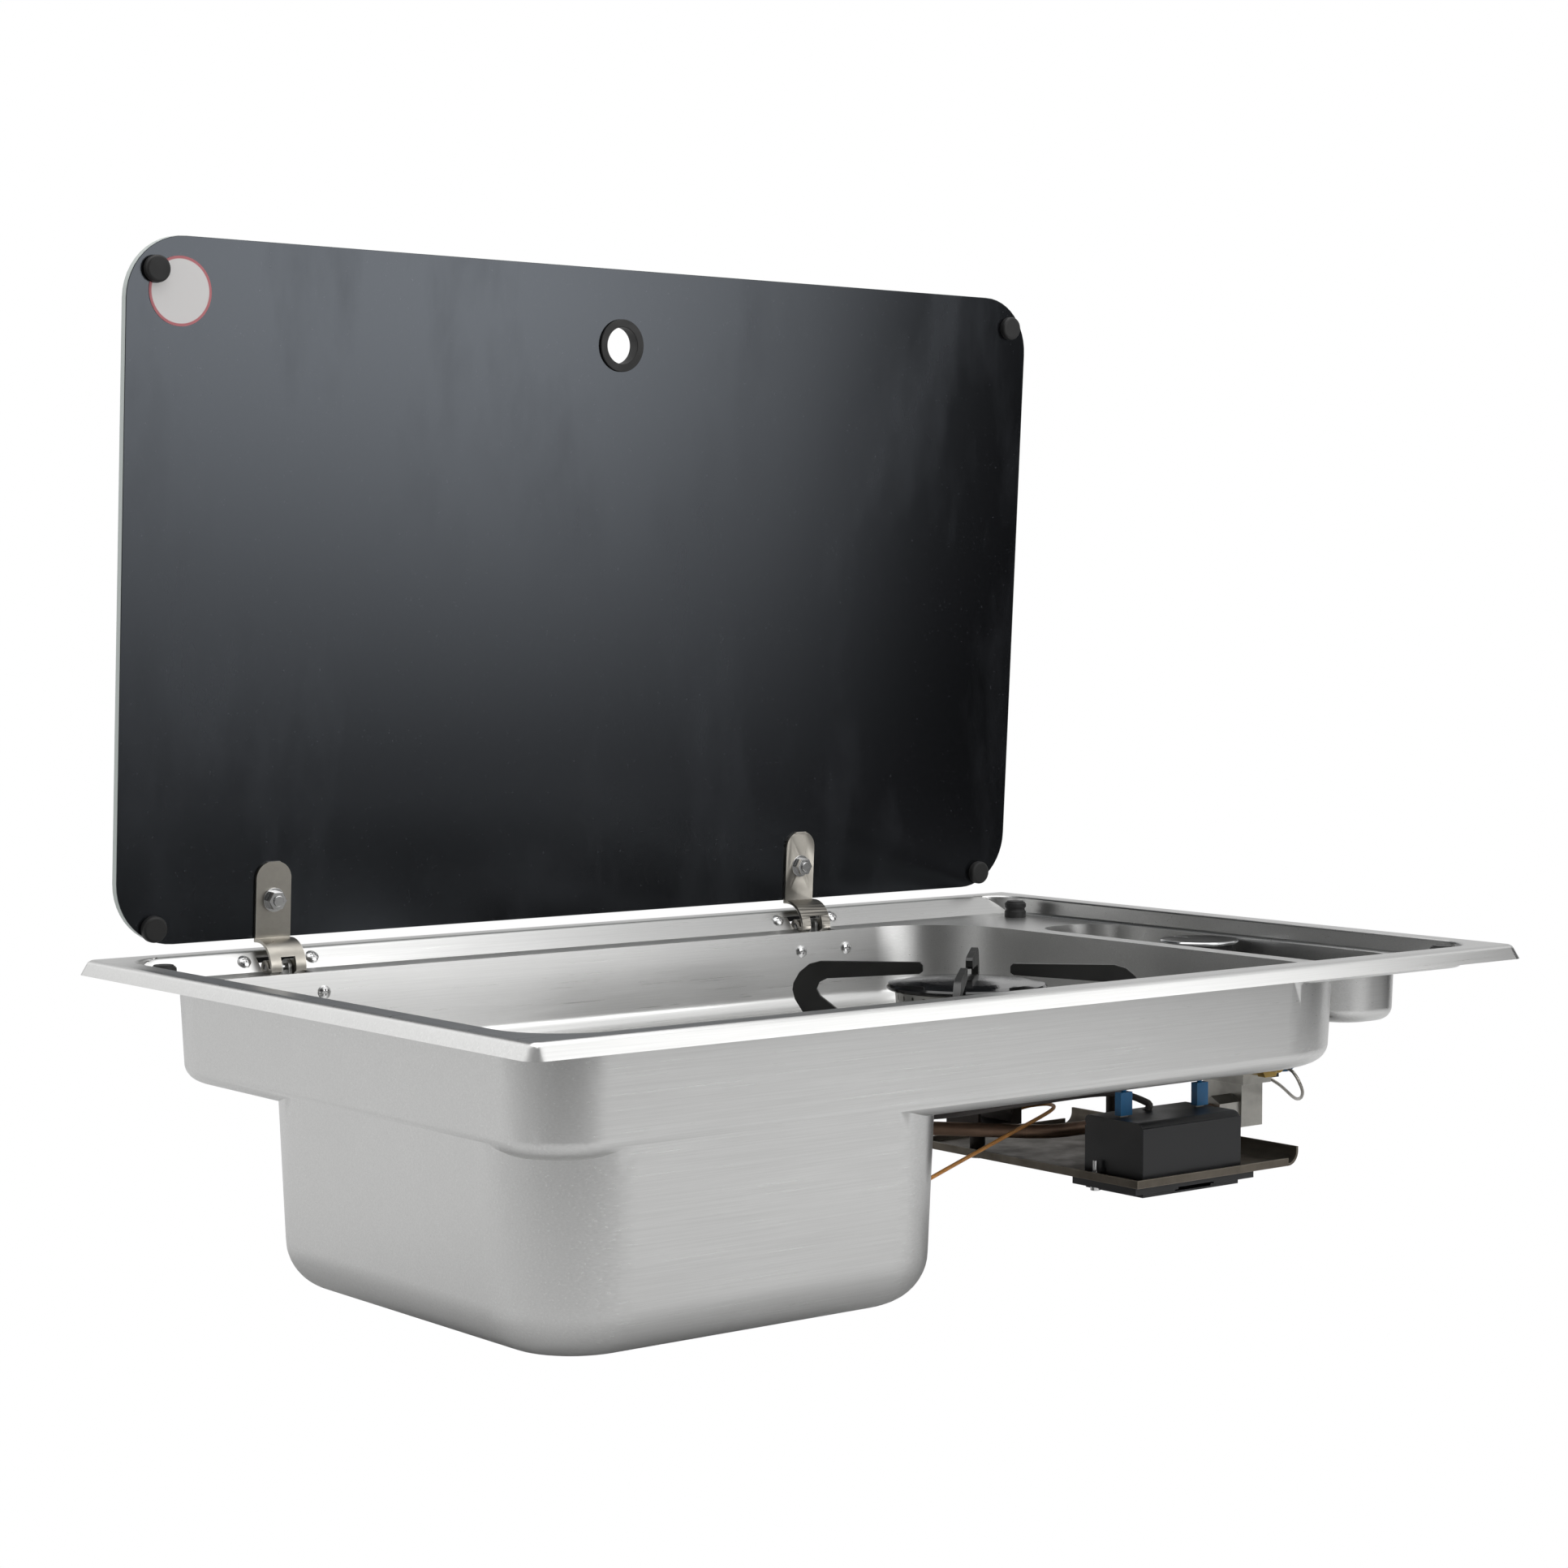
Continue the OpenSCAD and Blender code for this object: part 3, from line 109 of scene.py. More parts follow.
def joinTo(tree, shader, links):
    for key, source in links.items():
        tree.links.new(source, shader.inputs[key])


def mapped(tree, stretch, turn=(0, 0, 0)):
    place = addNode(tree, "ShaderNodeTexCoord")
    return addNode(tree, "ShaderNodeMapping", {"Scale": stretch, "Rotation": turn},
                   {"Vector": place.outputs["Object"]}).outputs["Vector"]


def noise(tree, where, detail=2.0, rough=0.5):
    return addNode(tree, "ShaderNodeTexNoise", {"Scale": 1.0, "Detail": detail, "Roughness": rough},
                   {"Vector": where}).outputs["Fac"]


def evenNoise(tree, perMetre, detail=2.0, rough=0.5):
    return noise(tree, mapped(tree, (perMetre, perMetre, perMetre)), detail, rough)


def grainOf(tree, grainMm):
    return evenNoise(tree, 1 / (grainMm * mm))


def shadeOf(colour, gain, lift=0.0):
    return [min(1.0, gain * c + lift) for c in fromHex(colour)[:3]] + [1.0]


def spread(tree, source, low, high, fromLow=0.3, fromHigh=0.7):
    return addNode(tree, "ShaderNodeMapRange",
                   {"From Min": fromLow, "From Max": fromHigh, "To Min": low, "To Max": high},
                   {"Value": source}).outputs["Result"]


def blendColours(tree, share, first, second):
    new = addNode(tree, "ShaderNodeMix", {"data_type": "RGBA"})
    for socket, value in ((6, first), (7, second)):
        if isinstance(value, str):
            new.inputs[socket].default_value = fromHex(value)
        elif isinstance(value, list):
            new.inputs[socket].default_value = value
        else:
            tree.links.new(value, new.inputs[socket])
    tree.links.new(share, new.inputs[0])
    return new.outputs[2]


def bumps(tree, height, depth, before=None):
    links = {"Height": height}
    if before is not None:
        links["Normal"] = before
    return addNode(tree, "ShaderNodeBump", {"Strength": 1.0, "Distance": depth}, links).outputs["Normal"]


# the difference between the true and a rounded normal marks the edges; the paler colour laid there is partly
# wear and partly a painted highlight along the edges
edgeWearAndHighlight = {"samples": 6, "low": 0.03, "high": 0.18}


def wornAndHighlitEdges(tree, radiusMm):
    rounded = addNode(tree, "ShaderNodeBevel",
                      {"samples": edgeWearAndHighlight["samples"], "Radius": radiusMm * mm}).outputs["Normal"]
    plain = addNode(tree, "ShaderNodeNewGeometry").outputs["Normal"]
    dot = addNode(tree, "ShaderNodeVectorMath", {"operation": "DOT_PRODUCT"}, {0: rounded, 1: plain})
    return spread(tree, dot.outputs["Value"], 0.0, 1.0, 1 - edgeWearAndHighlight["low"], 1 - edgeWearAndHighlight["high"])


# stainless sheet, pressed and brushed along its length: a soft silver with fine level lines
brushedSteel = {"light": "#d4d4d3", "dark": "#cbcbca", "rough": (0.27, 0.34), "lineMm": 0.9,
                "lineLong": 0.012, "lineDepth": 0.000006, "waveDepth": 0.0001,
                "wavePerMetre": (3, 9, 9), "grimePerMetre": 14, "grimeShare": 0.35, "grimeFrom": (0.45, 0.75)}


def makeBrushedSteel(name, values):
    material, tree, shader = startMaterial(name, {"Metallic": 1.0})
    scale = 1 / (values["lineMm"] * mm)
    where = mapped(tree, (values["lineLong"] * scale, scale, scale))
    lines = noise(tree, where, 3.0, 0.6)
    waves = noise(tree, mapped(tree, values["wavePerMetre"]))
    grime = evenNoise(tree, values["grimePerMetre"], 4.0, 0.6)
    tone = blendColours(tree, spread(tree, lines, 0.0, 1.0), values["light"], values["dark"])
    dulled = spread(tree, grime, 0.0, values["grimeShare"], *values["grimeFrom"])
    tone = blendColours(tree, dulled, tone, values["dark"])
    rough = spread(tree, lines, *values["rough"])
    fine = bumps(tree, lines, values["lineDepth"])
    joinTo(tree, shader, {"Base Color": tone, "Roughness": rough,
                          "Normal": bumps(tree, waves, values["waveDepth"], fine)})
    return material


# polished stainless turned parts: bright, with faint turning marks
turnedSteel = {"grainMm": 0.25, "depth": 0.00001, "stainPerMetre": 90, "stainShade": 0.72, "stainShare": 0.8}


def makeBrightSteel(name, colour="#d8d8d8", rough=(0.14, 0.26)):
    material, tree, shader = startMaterial(name, {"Metallic": 1.0})
    grain = grainOf(tree, turnedSteel["grainMm"])
    stain = evenNoise(tree, turnedSteel["stainPerMetre"], 3.0)
    tone = blendColours(tree, spread(tree, stain, 0.0, turnedSteel["stainShare"]), colour,
                        shadeOf(colour, turnedSteel["stainShade"]))
    joinTo(tree, shader, {"Base Color": tone, "Roughness": spread(tree, stain, *rough),
                          "Normal": bumps(tree, grain, turnedSteel["depth"])})
    return material


# strip and sheet that was tumbled, zinc plated or coated: a duller skin with a paler edge, partly worn and
# partly a painted edge highlight
coatedSkin = {"cloudPerMetre": 60, "cloudShade": 0.7, "cloudShare": 0.8}


def makeCoatedMetal(name, colour, edge, metallic, rough, grainMm=0.4, depth=0.00002, edgeMm=0.5):
    material, tree, shader = startMaterial(name, {"Metallic": metallic})
    grain = grainOf(tree, grainMm)
    cloud = evenNoise(tree, coatedSkin["cloudPerMetre"], 4.0, 0.6)
    skin = blendColours(tree, spread(tree, cloud, 0.0, coatedSkin["cloudShare"]), colour,
                        shadeOf(colour, coatedSkin["cloudShade"]))
    # the edge colour goes on the rounded edges: partly wear, partly a painted highlight
    tone = blendColours(tree, wornAndHighlitEdges(tree, edgeMm), skin, edge)
    joinTo(tree, shader, {"Base Color": tone, "Roughness": spread(tree, cloud, *rough),
                          "Normal": bumps(tree, grain, depth)})
    return material


# moulded plastic, enamel and rubber: a fine spark-eroded grain and paler edges, partly dulled by wear and
# partly a painted edge highlight
mouldedSkin = {"cloudPerMetre": 50, "gain": 1.5, "lift": 0.004, "cloudShare": 0.6}


def makeMoulded(name, colour, rough, grainMm=0.5, depth=0.00003, edge=None, edgeMm=0.4, sheen=0.0):
    material, tree, shader = startMaterial(name, {"IOR": 1.5, "Sheen Weight": sheen})
    grain = grainOf(tree, grainMm)
    cloud = evenNoise(tree, mouldedSkin["cloudPerMetre"], 3.0)
    tone = blendColours(tree, spread(tree, cloud, 0.0, mouldedSkin["cloudShare"]), colour,
                        shadeOf(colour, mouldedSkin["gain"], mouldedSkin["lift"]))
    # a paler colour on the edges: partly wear, partly a painted highlight
    if edge:
        tone = blendColours(tree, wornAndHighlitEdges(tree, edgeMm), tone, edge)
    joinTo(tree, shader, {"Base Color": tone, "Roughness": spread(tree, cloud, *rough),
                          "Normal": bumps(tree, grain, depth)})
    return material


# toughened glass, printed black on the back, edges ground: deep gloss with a pale satin edge
lidGlass = {"face": "#060607", "edge": "#aeb4b0", "rough": (0.20, 0.30), "ior": 1.52,
            "gloss": 0.6, "tint": "#eaf3ff", "wipePerMetre": (16, 16, 5), "wipeTurn": (0, 0.5, 0),
            "dustPerMetre": 900, "smear": "#1d1d20", "dust": "#3a3a3e", "edgeRough": 0.45}


def makeLidGlass(name, values):
    material, tree, shader = startMaterial(name, {
        "IOR": values["ior"], "Specular IOR Level": values["gloss"], "Specular Tint": fromHex(values["tint"])})
    wipe = noise(tree, mapped(tree, values["wipePerMetre"], values["wipeTurn"]), 5.0, 0.62)
    dust = evenNoise(tree, values["dustPerMetre"], 1.0)
    # the pane's own normal, so that its cut edge stays its edge while the lid turns
    own = addNode(tree, "ShaderNodeTexCoord")
    split = addNode(tree, "ShaderNodeSeparateXYZ", None, {"Vector": own.outputs["Normal"]})
    flat = addNode(tree, "ShaderNodeMath", {"operation": "ABSOLUTE"}, {0: split.outputs["Y"]})
    side = spread(tree, flat.outputs["Value"], 0.0, 1.0, 0.8, 0.4)
    smear = spread(tree, wipe, 0.0, 1.0, 0.5, 0.72)
    face = blendColours(tree, spread(tree, smear, 0.0, 0.25, 0.0, 1.0), values["face"], values["smear"])
    face = blendColours(tree, spread(tree, dust, 0.0, 1.0, 0.73, 0.78), face, values["dust"])
    rough = spread(tree, smear, values["rough"][0], values["rough"][1], 0.0, 1.0)
    rough = addNode(tree, "ShaderNodeMix", {"data_type": "FLOAT", 3: values["edgeRough"]},
                    {0: side, 2: rough}).outputs[0]
    tone = blendColours(tree, side, face, values["edge"])
    joinTo(tree, shader, {"Base Color": tone, "Roughness": rough})
    return material


# paper label, blank, with a thin muted red border
lidLabel = {"radiusMm": 18.8, "rimMm": 1.5, "blurMm": 0.2, "paper": "#d9d7d6", "border": "#b5646a",
            "rough": 0.42, "fibrePerMetre": 700, "fibreDepth": 0.00001}


print("materials start")
steelSheet = makeBrushedSteel("stainlessSheetBrushed", brushedSteel)
steelStrip = makeCoatedMetal("stainlessStripTumbled", "#a8a49c", "#cfcbc2", 1.0, (0.26, 0.4))
zincSheet = makeCoatedMetal("steelSheetZincPlated", "#9d9d9b", "#c4c4c0", 1.0, (0.32, 0.5))
brightSteel = makeBrightSteel("stainlessTurnedPolished")
chromeDisc = makeBrightSteel("brassSpunChromed", "#d9dadb", (0.08, 0.16))
aluCast = makeCoatedMetal("aluminiumDieCast", "#a9a8a4", "#cfcec9", 1.0, (0.35, 0.55), 0.5, 0.00004)
valveCast = makeCoatedMetal("valveBodyDieCastTumbled", "#b3b1ab", "#d8d6d0", 1.0, (0.3, 0.5), 0.5, 0.00004)
brassTurned = makeCoatedMetal("brassTurned", "#b79a5c", "#dcc487", 1.0, (0.3, 0.45))
copperTube = makeCoatedMetal("copperTubeTarnished", "#9a7f6c", "#c19c80", 0.85, (0.38, 0.55))
probeSteel = makeBrightSteel("steelTubeDrawn", "#a7a39c", (0.25, 0.4))
capEnamel = makeMoulded("capEnamelGlossBlack", "#0b0b0c", (0.07, 0.16), 1.2, 0.00002, "#2a2a2b", 0.6)
armEnamel = makeMoulded("armEnamelSatinBlack", "#131312", (0.32, 0.46), 0.6, 0.00004, "#3b3a38", 0.5)
knobBlack = makeMoulded("knobMouldedBlack", "#161617", (0.35, 0.5), 0.6, 0.00003, "#3a3a3a", 0.5)
rubberBlack = makeMoulded("rubberMouldedBlack", "#0b0b0b", (0.5, 0.7), 0.7, 0.00003, sheen=0.04)
# the igniter box's paler edge colour, 1.2 mm wide, is a painted highlight along its edges
boxBlack = makeMoulded("igniterBoxMouldedBlack", "#0e0f11", (0.34, 0.46), 0.8, 0.00005, "#2a2b30", 1.2)
ceramicGlazed = makeMoulded("ceramicGlazed", "#ddd8ca", (0.12, 0.25), 0.9, 0.00001)
nylonWhite = makeMoulded("nylonMoulded", "#d2cdbd", (0.4, 0.55))
# the base plate's paler edge colour is a painted highlight along its edges
plateCoated = makeCoatedMetal("steelPlateZincDark", "#6d665c", "#a59d90", 0.75, (0.4, 0.6), 0.5, 0.00005, 0.8)
bracketDark = makeCoatedMetal("steelBracketPhosphated", "#37312d", "#6a625a", 0.6, (0.42, 0.6))
blueVinyl = makeMoulded("vinylBootBlue", "#0f5f8f", (0.3, 0.45), 0.6, 0.00002, "#3e88b4", 0.4)
leadOrange = makeMoulded("leadInsulationOrange", "#c98a43", (0.35, 0.5), 0.6, 0.00001)
leadGrey = makeMoulded("leadSiliconeGrey", "#4a4644", (0.4, 0.55), 0.6, 0.00001)
batterySleeve = makeMoulded("batterySleeveFilm", "#3c5570", (0.2, 0.3))
wasteBlack = makeMoulded("polypropyleneBlack", "#1c1c1c", (0.4, 0.55))
wasteWhite = makeMoulded("polypropyleneWhite", "#d4d3cf", (0.4, 0.55))
glassLid = makeLidGlass("glassToughenedPrinted", lidGlass)


def makeLabelPaper(name, values):
    material, tree, shader = startMaterial(name, {"Roughness": values["rough"], "IOR": 1.45})
    low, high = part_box("lid_label")
    radius = values["radiusMm"] * mm
    place = addNode(tree, "ShaderNodeTexCoord").outputs["Object"]
    middle = (low + high) / 2
    centre = (low.x + radius if high.x - low.x < 2 * radius else middle.x, middle.y, high.z - radius)
    away = addNode(tree, "ShaderNodeVectorMath", {"operation": "DISTANCE", 1: centre}, {0: place})
    inner = radius - values["rimMm"] * mm
    blur = values["blurMm"] * mm
    ring = spread(tree, away.outputs["Value"], 0.0, 1.0, inner - blur, inner + blur)
    fibre = evenNoise(tree, values["fibrePerMetre"])
    joinTo(tree, shader, {"Base Color": blendColours(tree, ring, values["paper"], values["border"]),
                          "Normal": bumps(tree, fibre, values["fibreDepth"])})
    return material


labelPaper = makeLabelPaper("labelPaperPrinted", lidLabel)

finishes = {
    "tray": steelSheet, "rim_seal": rubberBlack, "hinge_bracket_left": zincSheet,
    "hinge_bracket_right": zincSheet, "hinge_pins": brightSteel, "hinge_screws": brightSteel,
    "hinge_strap_left": steelStrip, "hinge_strap_right": steelStrip, "lid_glass": glassLid,
    "lid_ring": rubberBlack, "lid_buffers": rubberBlack, "lid_label": labelPaper,
    "lid_bolts": brightSteel, "lid_washers": brightSteel, "lid_bushes": nylonWhite,
    "lid_nuts": brightSteel, "rest_bumpers": rubberBlack, "burner_cup": aluCast,
    "burner_clamp_ring": zincSheet, "burner_screws": brightSteel, "burner_head": aluCast,
    "burner_cap": capEnamel, "mixing_tube": aluCast, "injector_holder": brassTurned,
    "supply_pipe": copperTube, "spark_electrode": ceramicGlazed, "thermocouple": probeSteel,
    "pan_support": armEnamel, "support_feet": rubberBlack, "knob": knobBlack,
    "knob_disc": chromeDisc, "stem_seal": rubberBlack, "valve_screws": brightSteel,
    "valve_bracket": zincSheet, "valve_body": valveCast, "valve_stem": probeSteel,
    "spring_seat": probeSteel, "valve_spring": brightSteel, "safety_magnet": brassTurned,
    "switch_block": boxBlack, "gas_pipe": copperTube, "base_plate": plateCoated,
    "hanger_bracket": bracketDark, "plate_posts": bracketDark, "plate_screws": brightSteel,
    "igniter_box": boxBlack, "igniter_base": boxBlack, "battery": batterySleeve,
    "igniter_bolts": brightSteel, "igniter_tags": probeSteel, "blue_boots": blueVinyl,
    "switch_leads": blueVinyl, "spark_lead": leadGrey, "probe_lead": probeSteel,
    "earth_lead": leadOrange, "waste_flange": brightSteel, "waste_gasket": rubberBlack,
    "waste_nut": wasteWhite, "waste_elbow": wasteBlack, "sink_strainer": brightSteel,
}
for name, item in nodes.items():
    item.data.materials.clear()
    item.data.materials.append(finishes[name])
print("materials done")


# pieces with softened edges stand for the sharp solids of the frame
bodyOf = {}
for bodyName, members in frame["record"]["behaviour"]["bodies"].items():
    for member in members:
        bodyOf[member] = bodyName


# how the sharp meshes are cleaned and bevelled; angles in degrees
cleaning = {"weld": 0.000002, "flat": 0.6, "trayFlat": 0.5}
bevelling = {"segments": 2, "angle": 34, "weight": 80}


def applyModifiers(piece):
    graph = bpy.context.evaluated_depsgraph_get()
    final = bpy.data.meshes.new_from_object(piece.evaluated_get(graph))
    piece.modifiers.clear()
    piece.data = final
    return final


def linkPiece(shape, name):
    clean = bpy.data.meshes.new(name + "Soft")
    shape.to_mesh(clean)
    shape.free()
    piece = bpy.data.objects.new(name + "Soft", clean)
    bpy.context.scene.collection.objects.link(piece)
    return piece


def standFor(piece, name):
    piece.data.materials.clear()
    piece.data.materials.append(finishes[name])
    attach(piece, bodyOf[name])
    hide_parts(name)


def soften(name, width):
    shape = bmesh.new()
    shape.from_mesh(nodes[name].data)
    bmesh.ops.remove_doubles(shape, verts=shape.verts, dist=cleaning["weld"])
    bmesh.ops.dissolve_limit(shape, angle_limit=math.radians(cleaning["flat"]), use_dissolve_boundaries=False,
                             verts=shape.verts, edges=shape.edges)
    for face in shape.faces:
        face.smooth = True
    piece = linkPiece(shape, name)
    bevel = piece.modifiers.new("bevel", "BEVEL")
    bevel.width = width * mm
    bevel.segments = bevelling["segments"]
    bevel.limit_method = "ANGLE"
    bevel.angle_limit = math.radians(bevelling["angle"])
    bevel.use_clamp_overlap = True
    weighted = piece.modifiers.new("weighted", "WEIGHTED_NORMAL")
    weighted.weight = bevelling["weight"]
    applyModifiers(piece)
    standFor(piece, name)


# bevel width of each piece, in mm
softEdges = {
    "hinge_strap_left": 0.35, "hinge_strap_right": 0.35, "pan_support": 0.7, "igniter_box": 0.8,
    "igniter_base": 0.6, "base_plate": 0.3, "hinge_screws": 0.3, "lid_bolts": 0.4,
    "lid_washers": 0.2, "lid_nuts": 0.3, "rest_bumpers": 0.5, "lid_buffers": 0.6,
    "burner_cup": 0.5, "burner_head": 0.3, "knob": 0.6, "knob_disc": 0.4, "valve_body": 0.8,
    "switch_block": 0.5, "safety_magnet": 0.4, "hanger_bracket": 0.4, "blue_boots": 0.7,
    "igniter_bolts": 0.25, "plate_screws": 0.3, "lid_ring": 0.5, "waste_nut": 0.6,
    "waste_elbow": 0.6, "lid_glass": 0.7,
}
for name, width in softEdges.items():
    soften(name, width)


def fitSpring():
    node = nodes["valve_spring"]
    piece = bpy.data.objects.new("valveSpringCoil", node.data.copy())
    bpy.context.scene.collection.objects.link(piece)
    piece.matrix_world = node.matrix_world
    standFor(piece, "valve_spring")
    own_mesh(piece)


fitSpring()


# the sheet's folds are rolled: wide at the lip, tighter where the recess drops away
trayFolds = {"lipMm": 2.4, "openingMm": 1.5, "insideX": 0.3275, "insideY": 0.2075, "segments": 4,
             "strayMm": 0.9, "halfX": 0.340001, "level": 0.00001, "depth": 0.0009,
             "foldTurn": 25, "sharpTurn": 33}
# the rear wall leans back more than the other three, so it catches the light; metres and degrees
trayLean = {"angle": 3.2, "from": 0.012, "to": 0.059, "y": (0.142, 0.198)}


def leanRearWall(shape, top, values):
    start, end = values["y"]
    slope = math.tan(math.radians(values["angle"]))
    for v in shape.verts:
        deep = min(max(top - v.co.z - values["from"], 0), values["to"] - values["from"])
        near = min(max((v.co.y - start) / (end - start), 0), 1)
        v.co.y -= deep * slope * near * near * (3 - 2 * near)


# the flat ring round the opening becomes two half rings, since a face cannot hold a hole
def halveRing(shape, top, level):
    def onTop(item):
        return all(v.co.z > top - level for v in item.verts)

    shape.normal_update()
    ring = [f for f in shape.faces if f.normal.z > 0.9999 and onTop(f)]
    cutting = list(dict.fromkeys(v for f in ring for v in f.verts))
    cutting += list(dict.fromkeys(e for f in ring for e in f.edges)) + ring
    bmesh.ops.bisect_plane(shape, geom=cutting, dist=1e-6, plane_co=(0, 0, 0), plane_no=(1, 0, 0))
    shape.normal_update()
    flat = [e for e in shape.edges if len(e.link_faces) == 2 and onTop(e)
            and not all(abs(v.co.x) < 1e-6 for v in e.verts)
            and all(f.normal.z > 0.9999 for f in e.link_faces)]
    bmesh.ops.dissolve_edges(shape, edges=flat, use_verts=False)


def weighFolds(shape, top, values):
    weight = shape.edges.layers.float.new("bevel_weight_edge")
    folds = 0
    for edge in shape.edges:
        if len(edge.link_faces) != 2:
            continue
        turn = edge.calc_face_angle(0.0)
        middle = (edge.verts[0].co + edge.verts[1].co) / 2
        lip = abs(middle.x) > values["insideX"] or abs(middle.y) > values["insideY"]
        if all(v.co.z > top - 0.0001 for v in edge.verts) and turn > math.radians(values["foldTurn"]):
            edge[weight] = 1.0 if lip else values["openingMm"] / values["lipMm"]
            folds += 1
        elif turn > math.radians(values["sharpTurn"]):
            edge.smooth = False
    return folds


# a corner of the bevel that shoots past the sheet closes up onto its neighbour
def closeStrays(mesh, surface, top, values):
    strays = {v.index for v in mesh.vertices if surface.find_nearest(v.co)[3] > values["strayMm"] * mm
              or v.co.z > top + 1e-6 or abs(v.co.x) > values["halfX"]}
    beside = {}
    for edge in mesh.edges:
        for one, other in (edge.vertices, reversed(edge.vertices)):
            if one in strays and other not in strays:
                beside.setdefault(one, other)
    for one in sorted(strays):
        if one in beside:
            mesh.vertices[one].co = mesh.vertices[beside[one]].co
        else:
            mesh.vertices[one].co = surface.find_nearest(mesh.vertices[one].co)[0]
    mesh.update()
    return len(strays)


def softenTray(values, lean):
    shape = bmesh.new()
    shape.from_mesh(nodes["tray"].data)
    bmesh.ops.remove_doubles(shape, verts=shape.verts, dist=cleaning["weld"])
    top = max(v.co.z for v in shape.verts)
    leanRearWall(shape, top, lean)
    halveRing(shape, top, values["level"])
    low = top - values["depth"]
    below = [v for v in shape.verts if v.co.z < low]
    walls = [e for e in shape.edges if all(v.co.z < low for v in e.verts)]
    bmesh.ops.dissolve_limit(shape, angle_limit=math.radians(cleaning["trayFlat"]),
                             use_dissolve_boundaries=False, verts=below, edges=walls)
    for face in shape.faces:
        face.smooth = True
    folds = weighFolds(shape, top, values)
    surface = BVHTree.FromBMesh(shape)
    piece = linkPiece(shape, "tray")
    bevel = piece.modifiers.new("bevel", "BEVEL")
    bevel.width = values["lipMm"] * mm
    bevel.segments = values["segments"]
    bevel.limit_method = "WEIGHT"
    bevel.use_clamp_overlap = False
    strays = closeStrays(applyModifiers(piece), surface, top, values)
    weighted = piece.modifiers.new("weighted", "WEIGHTED_NORMAL")
    weighted.weight = bevelling["weight"]
    weighted.keep_sharp = True
    applyModifiers(piece)
    standFor(piece, "tray")
    print("tray folds softened:", folds, "strays closed:", strays)


softenTray(trayFolds, trayLean)
for name, item in nodes.items():
    if not item.hide_render:
        for face in item.data.polygons:
            face.use_smooth = True
print("soft edges done")


# floor, backdrop and light

studio = {"floorZ": -0.1815, "floorHalf": 9.0, "floor": "#d6d6d6", "worldLight": 0.62}


# one where the camera looks straight at a thing or through glass at it
def seenDirectly(tree):
    path = addNode(tree, "ShaderNodeLightPath")
    return addNode(tree, "ShaderNodeMath", {"operation": "MAXIMUM"},
                   {0: path.outputs["Is Camera Ray"], 1: path.outputs["Is Transmission Ray"]}).outputs["Value"]


def makeFloor(values):
    half = values["floorHalf"]
    mesh = bpy.data.meshes.new("studioFloor")
    mesh.from_pydata([(-half, -half, 0), (half, -half, 0), (half, half, 0), (-half, half, 0)], [],
                     [(0, 1, 2, 3)])
    floor = bpy.data.objects.new("studioFloor", mesh)
    bpy.context.scene.collection.objects.link(floor)
    floor.location.z = values["floorZ"]
    material, tree, shader = startMaterial("studioFloorPaper",
                                           {"Roughness": 0.9, "Base Color": fromHex(values["floor"])})
    glow = addNode(tree, "ShaderNodeEmission", {"Color": (1, 1, 1, 1), "Strength": 1.0})
    mix = addNode(tree, "ShaderNodeMixShader", None,
                  {0: seenDirectly(tree), 1: shader.outputs["BSDF"], 2: glow.outputs["Emission"]})
    tree.links.new(mix.outputs["Shader"], tree.nodes["Material Output"].inputs["Surface"])
    mesh.materials.append(material)


def makeWorld(values):
    world = bpy.data.worlds.new("studioWorld")
    bpy.context.scene.world = world
    world.use_nodes = True
    tree = world.node_tree
    tree.nodes.clear()
    strength = addNode(tree, "ShaderNodeMapRange", {"To Min": values["worldLight"], "To Max": 1.0},
                       {"Value": seenDirectly(tree)})
    back = addNode(tree, "ShaderNodeBackground", {"Color": (1, 1, 1, 1)},
                   {"Strength": strength.outputs["Result"]})
    addNode(tree, "ShaderNodeOutputWorld", None, {"Surface": back.outputs["Background"]})


# cards round the object, each part of a tall cylinder; their light is seen in the steel and the glass
# across: strength by compass angle, up: strength by height, extra: what is added by height
cardSegments = 32
cards = [
    {"name": "keyCard", "yaw": (98, 186), "radius": 1.1, "z": (-0.175, 1.5),
     "across": [(98, 0.0), (124, 0.0), (128, 0.4), (143, 1.0), (170, 0.9), (180, 0.4), (186, 0.1)],
     "up": [(-0.175, 0.08), (-0.09, 0.42), (0.06, 1.45), (0.27, 3.3), (0.42, 4.4), (0.6, 0.6), (1.5, 0.5)],
     "extra": [(0.42, 0.0), (0.55, 1.0), (1.5, 1.0)]},
    {"name": "cameraSideCard", "yaw": (186.5, 236), "radius": 1.1, "z": (-0.175, 1.0),
     "across": [(186, 0.1), (200, 0.03), (225, 0.03), (236, 0.1)], "up": [(-0.2, 1.0), (1.0, 1.0)],
     "extra": [(0.0, 0.0), (1.0, 0.0)]},
    {"name": "leftCard", "yaw": (236.5, 340), "radius": 1.1, "z": (-0.175, 1.3),
     "across": [(236, 0.1), (268, 0.5), (300, 0.95), (340, 1.0)],
     "up": [(-0.2, 0.72), (-0.08, 0.86), (0.2, 0.95), (0.5, 1.35), (1.3, 1.35)],
     "extra": [(0.0, 0.0), (1.0, 0.0)]},
]


def stepped(tree, value, stops):
    # straight lines between the stops
    result = None
    for (x0, y0), (x1, y1) in zip(stops, stops[1:]):
        part = addNode(tree, "ShaderNodeMapRange",
                       {"From Min": x0, "From Max": x1, "To Min": 0.0, "To Max": y1 - y0}, {"Value": value})
        if result is None:
            result = addNode(tree, "ShaderNodeMath", {"operation": "ADD", 1: y0}, {0: part.outputs["Result"]})
        else:
            result = addNode(tree, "ShaderNodeMath", {"operation": "ADD"},
                             {0: part.outputs["Result"], 1: result.outputs["Value"]})
    return result.outputs["Value"]


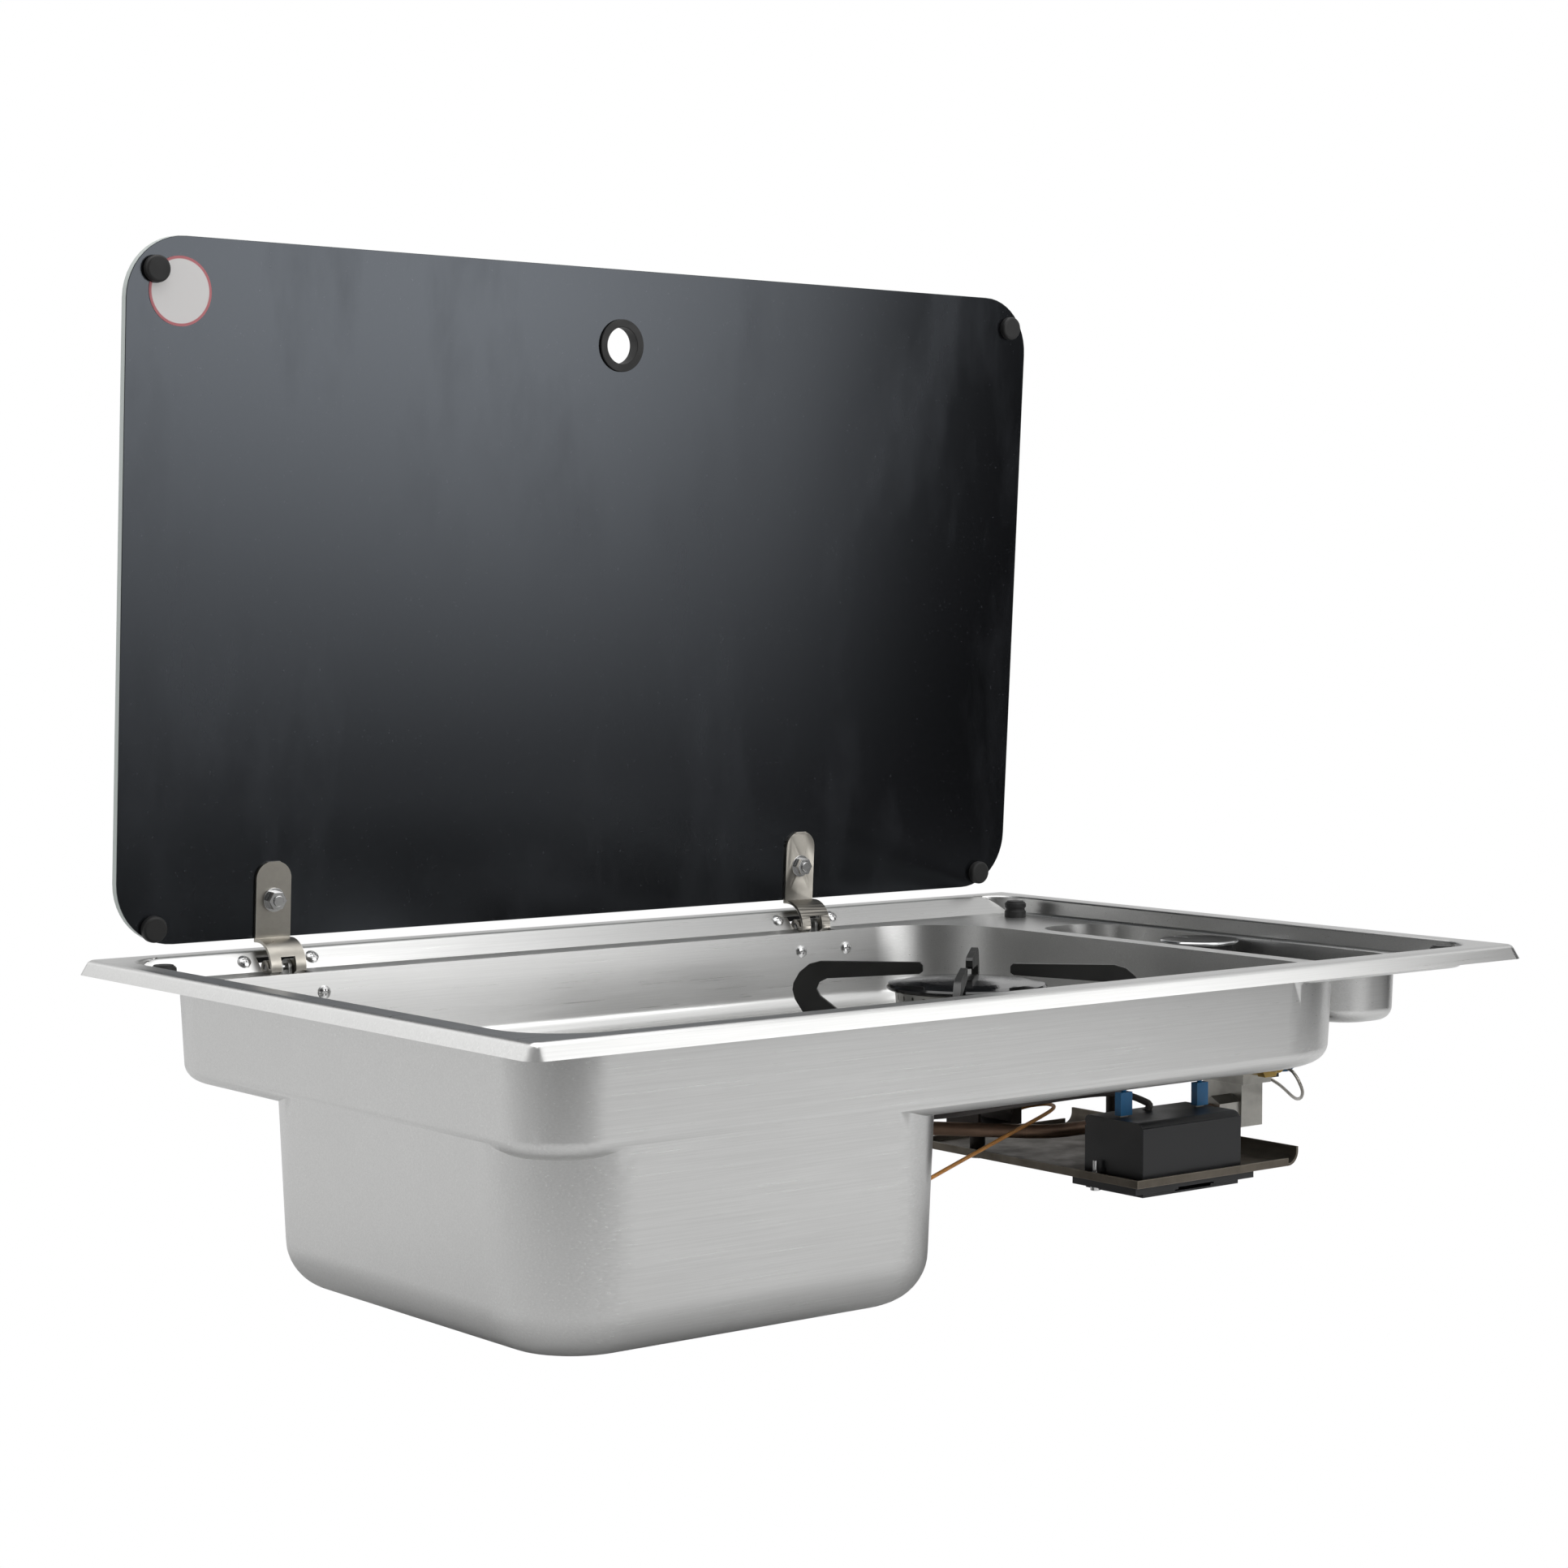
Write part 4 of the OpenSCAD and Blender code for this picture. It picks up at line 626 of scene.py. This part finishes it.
def makeCard(values):
    first, last = values["yaw"]
    points = []
    for i in range(cardSegments + 1):
        yaw = math.radians(first + (last - first) * i / cardSegments)
        for z in values["z"]:
            points.append((values["radius"] * math.sin(yaw), values["radius"] * math.cos(yaw), z))
    faces = [(2 * i, 2 * i + 1, 2 * i + 3, 2 * i + 2) for i in range(cardSegments)]
    mesh = bpy.data.meshes.new(values["name"])
    mesh.from_pydata(points, [], faces)
    card = bpy.data.objects.new(values["name"], mesh)
    bpy.context.scene.collection.objects.link(card)
    material = bpy.data.materials.new(values["name"] + "Light")
    material.use_nodes = True
    tree = material.node_tree
    tree.nodes.clear()
    place = addNode(tree, "ShaderNodeNewGeometry").outputs["Position"]
    split = addNode(tree, "ShaderNodeSeparateXYZ", None, {"Vector": place})
    # compass angle measured from straight behind, so the left half stays one run
    turn = addNode(tree, "ShaderNodeMath", {"operation": "ARCTAN2"},
                   {0: split.outputs["X"], 1: split.outputs["Y"]})
    degrees = addNode(tree, "ShaderNodeMath", {"operation": "MULTIPLY", 1: math.degrees(1)},
                      {0: turn.outputs["Value"]})
    below = addNode(tree, "ShaderNodeMath", {"operation": "LESS_THAN", 1: 0.0},
                    {0: degrees.outputs["Value"]})
    yaw = addNode(tree, "ShaderNodeMath", {"operation": "MULTIPLY_ADD", 1: 360.0},
                  {0: below.outputs["Value"], 2: degrees.outputs["Value"]})
    across = stepped(tree, yaw.outputs["Value"], values["across"])
    up = stepped(tree, split.outputs["Z"], values["up"])
    extra = stepped(tree, split.outputs["Z"], values["extra"])
    light = addNode(tree, "ShaderNodeMath", {"operation": "MULTIPLY_ADD"}, {0: across, 1: up, 2: extra})
    glow = addNode(tree, "ShaderNodeEmission", {"Color": (1, 1, 1, 1)}, {"Strength": light.outputs["Value"]})
    addNode(tree, "ShaderNodeOutputMaterial", None, {"Surface": glow.outputs["Emission"]})
    mesh.materials.append(material)
    card.visible_camera = False
    card.visible_transmission = False
    card.visible_shadow = False


topSoftbox = {"place": (0.02, 0.1, 2.0), "aim": (0.02, 0.1, 0), "size": (2.4, 2.2), "power": 33}


def addSoftbox(name, values):
    data = bpy.data.lights.new(name, "AREA")
    data.shape = "RECTANGLE"
    data.size, data.size_y = values["size"]
    data.energy = values["power"]
    lamp = bpy.data.objects.new(name, data)
    bpy.context.scene.collection.objects.link(lamp)
    lamp.location = values["place"]
    towards = Vector(values["aim"]) - Vector(values["place"])
    lamp.rotation_euler = towards.to_track_quat("-Z", "Y").to_euler()


makeFloor(studio)
makeWorld(studio)
for card in cards:
    makeCard(card)
addSoftbox("topSoftbox", topSoftbox)

bpy.context.scene.view_settings.view_transform = "Standard"
bpy.context.scene.view_settings.look = "None"
print("studio done")
